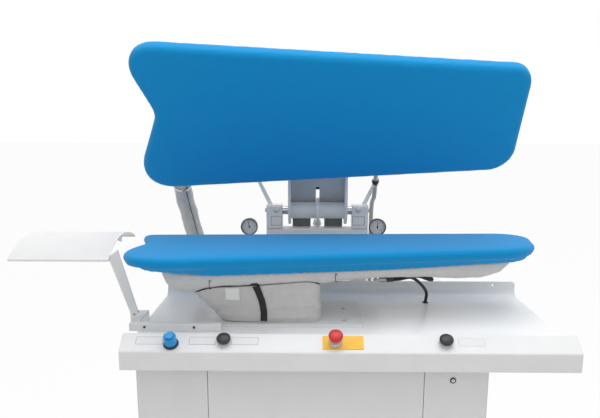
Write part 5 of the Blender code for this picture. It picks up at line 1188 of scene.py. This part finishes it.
def makeHousingTrim(s):
    bolts = bmesh.new()
    for x, z in s["bolts"]:
        merge(bolts, disc(s["boltRadius"] * 1.18, 0.0010, 28, 0.0003),
              at(x, s["front"] - 0.0002, z, toFront))
        merge(bolts, capScrew(s["boltRadius"], 0.0042), at(x, s["front"] - 0.0012, z, toFront))
    addPiece(bolts, "housingBolts", "press_frame", "zinc", "steel")
    for number, (x, z, width, height) in enumerate(s["labels"]):
        addPiece(framedLabel(width, height, s["line"]), "housingLabel%d" % number, "press_frame",
                 ["labelLine", "labelFace"], "white_paint", standing @ at(x, s["front"] - 0.0002, z,
                                                                          toFront))
    caps = bmesh.new()
    for x, way in s["caps"]:
        turn = Matrix.Rotation(way * quarter, 4, "Y")
        for part, along in ((disc(s["capRadius"], s["capThick"], 28, 0.0008), x),
                            (hexBolt(0.0075, 0.0055), x + way * s["capThick"])):
            merge(caps, part, at(along, layout["pivotY"], layout["pivotHeight"], turn))
    addPiece(caps, "shaftCaps", "press_frame", "zinc", "steel")


makeHousingTrim(housingSettings)

# Console: blank framed labels on its slope
consoleSettings = {"labels": [(-0.479, -0.406, "labelLine"), (-0.334, -0.2605, "labelLine"),
                              (-0.219, -0.146, "labelLine"), (0.395, 0.468, "faintLine")], "low": 0.39,
                   "high": 0.78}


def makeConsoleLabels(s):
    height = (s["high"] - s["low"]) * math.hypot(layout["slopeRise"], layout["slopeDepth"])
    for number, (start, end, line) in enumerate(s["labels"]):
        addPiece(framedLabel(end - start, height, 0.0008), "consoleLabel%d" % number, "press_frame",
                 [line, "labelFace"], "white_paint", onSlope((start + end) / 2, (s["high"] + s["low"]) / 2,
                                                             0.00005))


makeConsoleLabels(consoleSettings)
print("housings and console dressed")

# Screws, bolts and louvres
fixings = {"pedestal": [(0.0973, 0.3188), (0.0953, 0.189), (-0.2463, 0.1866), (-0.2231, 0.1891)],
           "plug": (0.0951, 0.2737), "tableFace": 0.7147, "railFront": [(-0.4726, 0.719), (-0.3325, 0.719)],
           "railFace": 0.1051, "rearFace": 0.8199, "sideFace": 0.4879,
           "rearColumns": (-0.45, -0.225, 0.0, 0.225, 0.45), "rearRows": (0.085, 0.380, 0.672),
           "sideColumns": (0.080, 0.435, 0.790), "sideRows": (0.090, 0.380, 0.670),
           "louvreColumns": (-0.27, 0.03, 0.33), "louvreRows": 8, "louvreLow": 0.22, "louvrePitch": 0.034,
           "louvreLength": 0.150, "louvreRadius": 0.010,
           "head": {"coverScrews": ("head_cover", capScrew, (0.0055, 0.0030),
                                    (-0.46, -0.30, -0.155, 0.195, 0.34, 0.50), (-0.16, -0.40)),
                    "saddleBolts": ("head_saddle", hexBolt, (0.0085, 0.0065), (-0.098, 0.138),
                                    (-0.222, -0.418))}}


def louvre(s):
    hood = disc(s["louvreRadius"], s["louvreLength"], 20)
    bmesh.ops.bisect_plane(hood, geom=hood.verts[:] + hood.edges[:] + hood.faces[:], plane_co=(0, 0, 0),
                           plane_no=(-1, 0, 0), clear_outer=True)
    bmesh.ops.holes_fill(hood, edges=[e for e in hood.edges if e.is_boundary], sides=0)
    bmesh.ops.scale(hood, vec=(0.55, 1, 1), verts=hood.verts)
    return hood


def makeFixings(s):
    bm = bmesh.new()
    for x, y in s["pedestal"]:
        merge(bm, hexBolt(0.0042, 0.0030), at(x, y, s["tableFace"]))
    merge(bm, disc(0.0028, 0.0006, 16), at(*s["plug"], s["tableFace"]))
    addPiece(bm, "pedestalBolts", "press_frame", "zinc", "steel")
    bm = bmesh.new()
    for x, z in s["railFront"]:
        merge(bm, capScrew(0.0038, 0.0016), at(x, s["railFace"], z, toFront))
    addPiece(bm, "railScrews", "press_frame", "darkRim", "steel")
    turn = Matrix.Rotation(-quarter, 4, "X")
    seats = [at(x, s["rearFace"], z, turn) for x in s["rearColumns"] for z in s["rearRows"]]
    for x in (-s["sideFace"], s["sideFace"]):
        turn = Matrix.Rotation(math.copysign(quarter, x), 4, "Y")
        seats += [at(x, y, z, turn) for y in s["sideColumns"] for z in s["sideRows"] if z > 0.1 or y > 0.17]
    bm = bmesh.new()
    for seat in seats:
        merge(bm, capScrew(0.0050, 0.0028), seat)
    addPiece(bm, "panelScrews", "press_frame", "zinc", "steel")
    turn = Matrix.Rotation(quarter, 4, "Y") @ Matrix.Rotation(-quarter, 4, "Z")
    bm = bmesh.new()
    for column in s["louvreColumns"]:
        for row in range(s["louvreRows"]):
            merge(bm, louvre(s), at(column - s["louvreLength"] / 2, s["rearFace"],
                                    s["louvreLow"] + row * s["louvrePitch"], turn))
    addPiece(bm, "rearLouvres", "press_frame", "white", "white_paint")


def makeHeadFixings(s):
    aim = onHead.to_3x3() @ Vector((0, 0, -1))
    for name, (node, bolt, size, columns, rows) in s["head"].items():
        mesh = nodes[node].data
        tree = BVHTree.FromPolygons([v.co.copy() for v in mesh.vertices],
                                    [tuple(p.vertices) for p in mesh.polygons])
        bm = bmesh.new()
        for x in columns:
            for y in rows:
                place, normal, _, _ = tree.ray_cast(onHead @ Vector((x, y, 0.2)), aim)
                if place is None:
                    continue
                if normal.dot(aim) > 0:
                    normal = -normal
                merge(bm, bolt(*size), looking(place - normal * 0.0001, normal))
        addPiece(bm, name, "pressing_head", "zinc", "steel", same)


makeFixings(fixings)
makeHeadFixings(fixings)

# Tray bracket: the rail with its runner cut back beside the arm's foot, which then stands open to the front
bracketSettings = {"cutLow": (-0.60, 0.090, 0.700), "cutHigh": (-0.516, 0.24262, 0.745)}


def makeBracket(s):
    bm = bmesh.new()
    bm.from_mesh(nodes["tray_rail"].data)
    bmesh.ops.remove_doubles(bm, verts=bm.verts, dist=0.00001)
    shift(bm, -layout["corner"])
    piece = addPiece(bm, "trayBracket", "press_frame", "white", "white_paint", standing, 35, False)
    knife = slab(s["cutLow"], s["cutHigh"])
    shift(knife, layout["corner"])
    cutter = newObject("knife", meshFrom(knife, "knife"))
    cut = piece.modifiers.new("Cut", "BOOLEAN")
    cut.operation = "DIFFERENCE"
    cut.solver = "EXACT"
    cut.object = cutter
    trimmed = evaluated(piece)
    piece.modifiers.clear()
    piece.data = trimmed
    trimmed.materials.clear()
    trimmed.materials.append(finishes["white"])
    smoothMesh(trimmed, 35)
    bpy.data.objects.remove(cutter)
    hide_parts("tray_rail")


makeBracket(bracketSettings)

# Hose ends: bands, grommets, and the black gland and steel nut of the air line
endSettings = {"grommets": [("steam", 0.0325, 0.0425, 0.0055), ("air", 0.0078, 0.0125, 0.0045),
                            ("drain", 0.0053, 0.0095, 0.0040)],
               "tableFace": 0.7038, "bandRadius": 0.0322, "bandWidth": 0.011, "bandInset": 3,
               "gland": [(0.0077, 0.0005), (0.0118, 0.0005), (0.0124, 0.002), (0.0124, 0.007),
                         (0.0112, 0.008), (0.0100, 0.012), (0.0077, 0.013), (0.0077, 0.0005)],
               "nut": [(0.0077, 0.0138), (0.0108, 0.0138), (0.0112, 0.0146), (0.0112, 0.0196),
                       (0.0106, 0.0206), (0.0077, 0.0212), (0.0077, 0.0138)]}


def hoseBand(radius, width):
    half, inner = width / 2, radius - 0.0012
    band = turnedShape([(inner, -half), (radius - 0.0005, -half), (radius, -half + 0.0006),
                        (radius, half - 0.0006), (radius - 0.0005, half), (inner, half), (inner, -half)], 40)
    merge(band, slab((-0.008, radius - 0.001, -half), (0.008, radius + 0.006, half), 0.0012))
    merge(band, hexBolt(0.0036, 0.006, False), at(0.008, radius + 0.0028, 0,
                                                  Matrix.Rotation(quarter, 4, "Y")))
    return band


def makeHoseEnds(s):
    rings = bmesh.new()
    for label, inner, outer, height in s["grommets"]:
        foot = hoseSettings[label]["route"][-1] - layout["corner"]
        ring = turnedShape([(inner, 0), (outer, 0), (outer - 0.0008, height * 0.5), (inner + 0.0012, height),
                            (inner, height), (inner, 0)], 36)
        merge(rings, ring, at(foot.x, foot.y, s["tableFace"] if label != "drain" else foot.z))
    addPiece(rings, "hoseGrommets", "press_frame", "blackMatt", "black_rubber")
    route = hoseSettings["steam"]["route"]
    for index, body, name in ((s["bandInset"], "pressing_head", "steamBandTop"),
                              (len(route) - 2 - s["bandInset"], "press_frame", "steamBandLow")):
        addPiece(hoseBand(s["bandRadius"], s["bandWidth"]), name, body, "steel", "steel",
                 looking(route[index], aheadAt(route, index)))
    route = hoseSettings["air"]["route"]
    seat = looking(route[0], (route[3] - route[0]).normalized())
    addPiece(turnedShape(s["gland"], 28), "airHoseGland", "pressing_head", "black", "black_rubber", seat)
    addPiece(turnedShape(s["nut"], 6), "airHoseNut", "pressing_head", "steel", "steel", seat)


makeHoseEnds(endSettings)

# Lock face, hooks that hold the cover's lacing, the flap in the arm web and the dark grey plates below the
# beam, put behind the shaft as a painted shadow
trimSettings = {"lock": (0.390, 0.0470, 0.5871), "wire": 0.0009,
                "hooks": [(-0.286, 0.8537, -0.286, 0.8334), (0.066, 0.8635, 0.066, 0.8430)],
                "flap": [(0.009, -0.140, 0.0405), (0.031, -0.060, 0.0418)],
                # the plates below the beam: a dark grey sheet standing in for the shadow behind the shaft
                "shadowPlates": [(-0.068, -0.004), (0.044, 0.108)], "shadowPlateY": (0.6655, 0.6675),
                "shadowPlateZ": (0.9222, 0.9500)}


def makeTrim(s):
    face = bmesh.new()
    merge(face, turnedShape([(0.0, 0), (0.0050, 0), (0.0050, 0.0007), (0.0044, 0.0011), (0.0, 0.0011)], 28))
    merge(face, slab((-0.0005, -0.0032, 0.0010), (0.0005, 0.0032, 0.0014), 0, 1))
    addPiece(face, "lockFace", "cabinet_lock", ["steel", "black"], "steel",
             standing @ Matrix.Translation(s["lock"]) @ toFront)
    wires = bmesh.new()
    for topX, topZ, lowX, lowZ in s["hooks"]:
        front = min(frontOf(topX, topZ), frontOf(lowX, lowZ)) - 0.0022
        top, low = Vector((topX, front, topZ)), Vector((lowX, front, lowZ))
        curl = [top + Vector((0.004, 0, -0.003)), top + Vector((0.002, 0, 0.001)), top, (top + low) / 2, low,
                low + Vector((0.003, 0, -0.003)), low + Vector((0.006, 0, 0.001))]
        merge(wires, sweepTube(smoothRoute(curl, 0.0016)[0], lambda share, around: s["wire"], 8))
    addPiece(wires, "lacingHooks", "press_frame", "blackMatt", "black_rubber")
    addPiece(slab(*s["flap"], 0.0004), "webFlap", "pressing_head", "blackMatt", "black_rubber", onHead)
    # dark grey plates as a painted shadow in the gap under the shaft
    shadowPlates = bmesh.new()
    for left, right in s["shadowPlates"]:
        merge(shadowPlates, slab((left, s["shadowPlateY"][0], s["shadowPlateZ"][0]), (right, s["shadowPlateY"][1], s["shadowPlateZ"][1]),
                           0.0005))
    addPiece(shadowPlates, "beamGuards", "press_frame", "grey", "grey_paint")


makeTrim(trimSettings)

# Condensate valve: black body with its cap, and the braided bundle over its outlet
valveSettings = {"body": [(0.2262, 0.2915, 0.8085), (0.2472, 0.3085, 0.8235)],
                 "cap": [(0, 0), (0.0055, 0), (0.0055, 0.0035), (0.0045, 0.0048), (0, 0.0048)],
                 "capAt": (0.2367, 0.2916, 0.816),
                 "bundle": [(0.240, 0.300, 0.8190), (0.268, 0.300, 0.8235), (0.300, 0.300, 0.8310),
                            (0.330, 0.302, 0.8290), (0.352, 0.305, 0.8215), (0.371, 0.309, 0.8110)],
                 "radii": [(0.0, 0.0036), (0.20, 0.0048), (0.45, 0.0078), (0.62, 0.0098), (0.80, 0.0100),
                           (0.93, 0.0084), (1.0, 0.004)]}


def makeValve(s):
    body = slab(*s["body"], 0.0015)
    merge(body, turnedShape(s["cap"], 20), at(*s["capAt"], toFront))
    addPiece(body, "valveBody", "press_frame", "black", "black_plastic")
    route, _ = smoothRoute([layout["corner"] + Vector(p) for p in s["bundle"]], 0.0022)

    def radiusAt(share, around):
        turn = 2 * math.pi * around
        lump = 0.0009 * noise.noise((math.cos(turn) * 2.5, math.sin(turn) * 2.5, share * 16))
        strand = 0.0006 * abs(math.sin(math.pi * (around * 8 + share * 18)))
        return between(s["radii"], share) + lump + strand
    addPiece(sweepTube(route, radiusAt, 32), "valveBundle", "press_frame", "hoseBlack", "black_rubber", same,
             60)


makeValve(valveSettings)
print("fixings, hose ends and trim made")
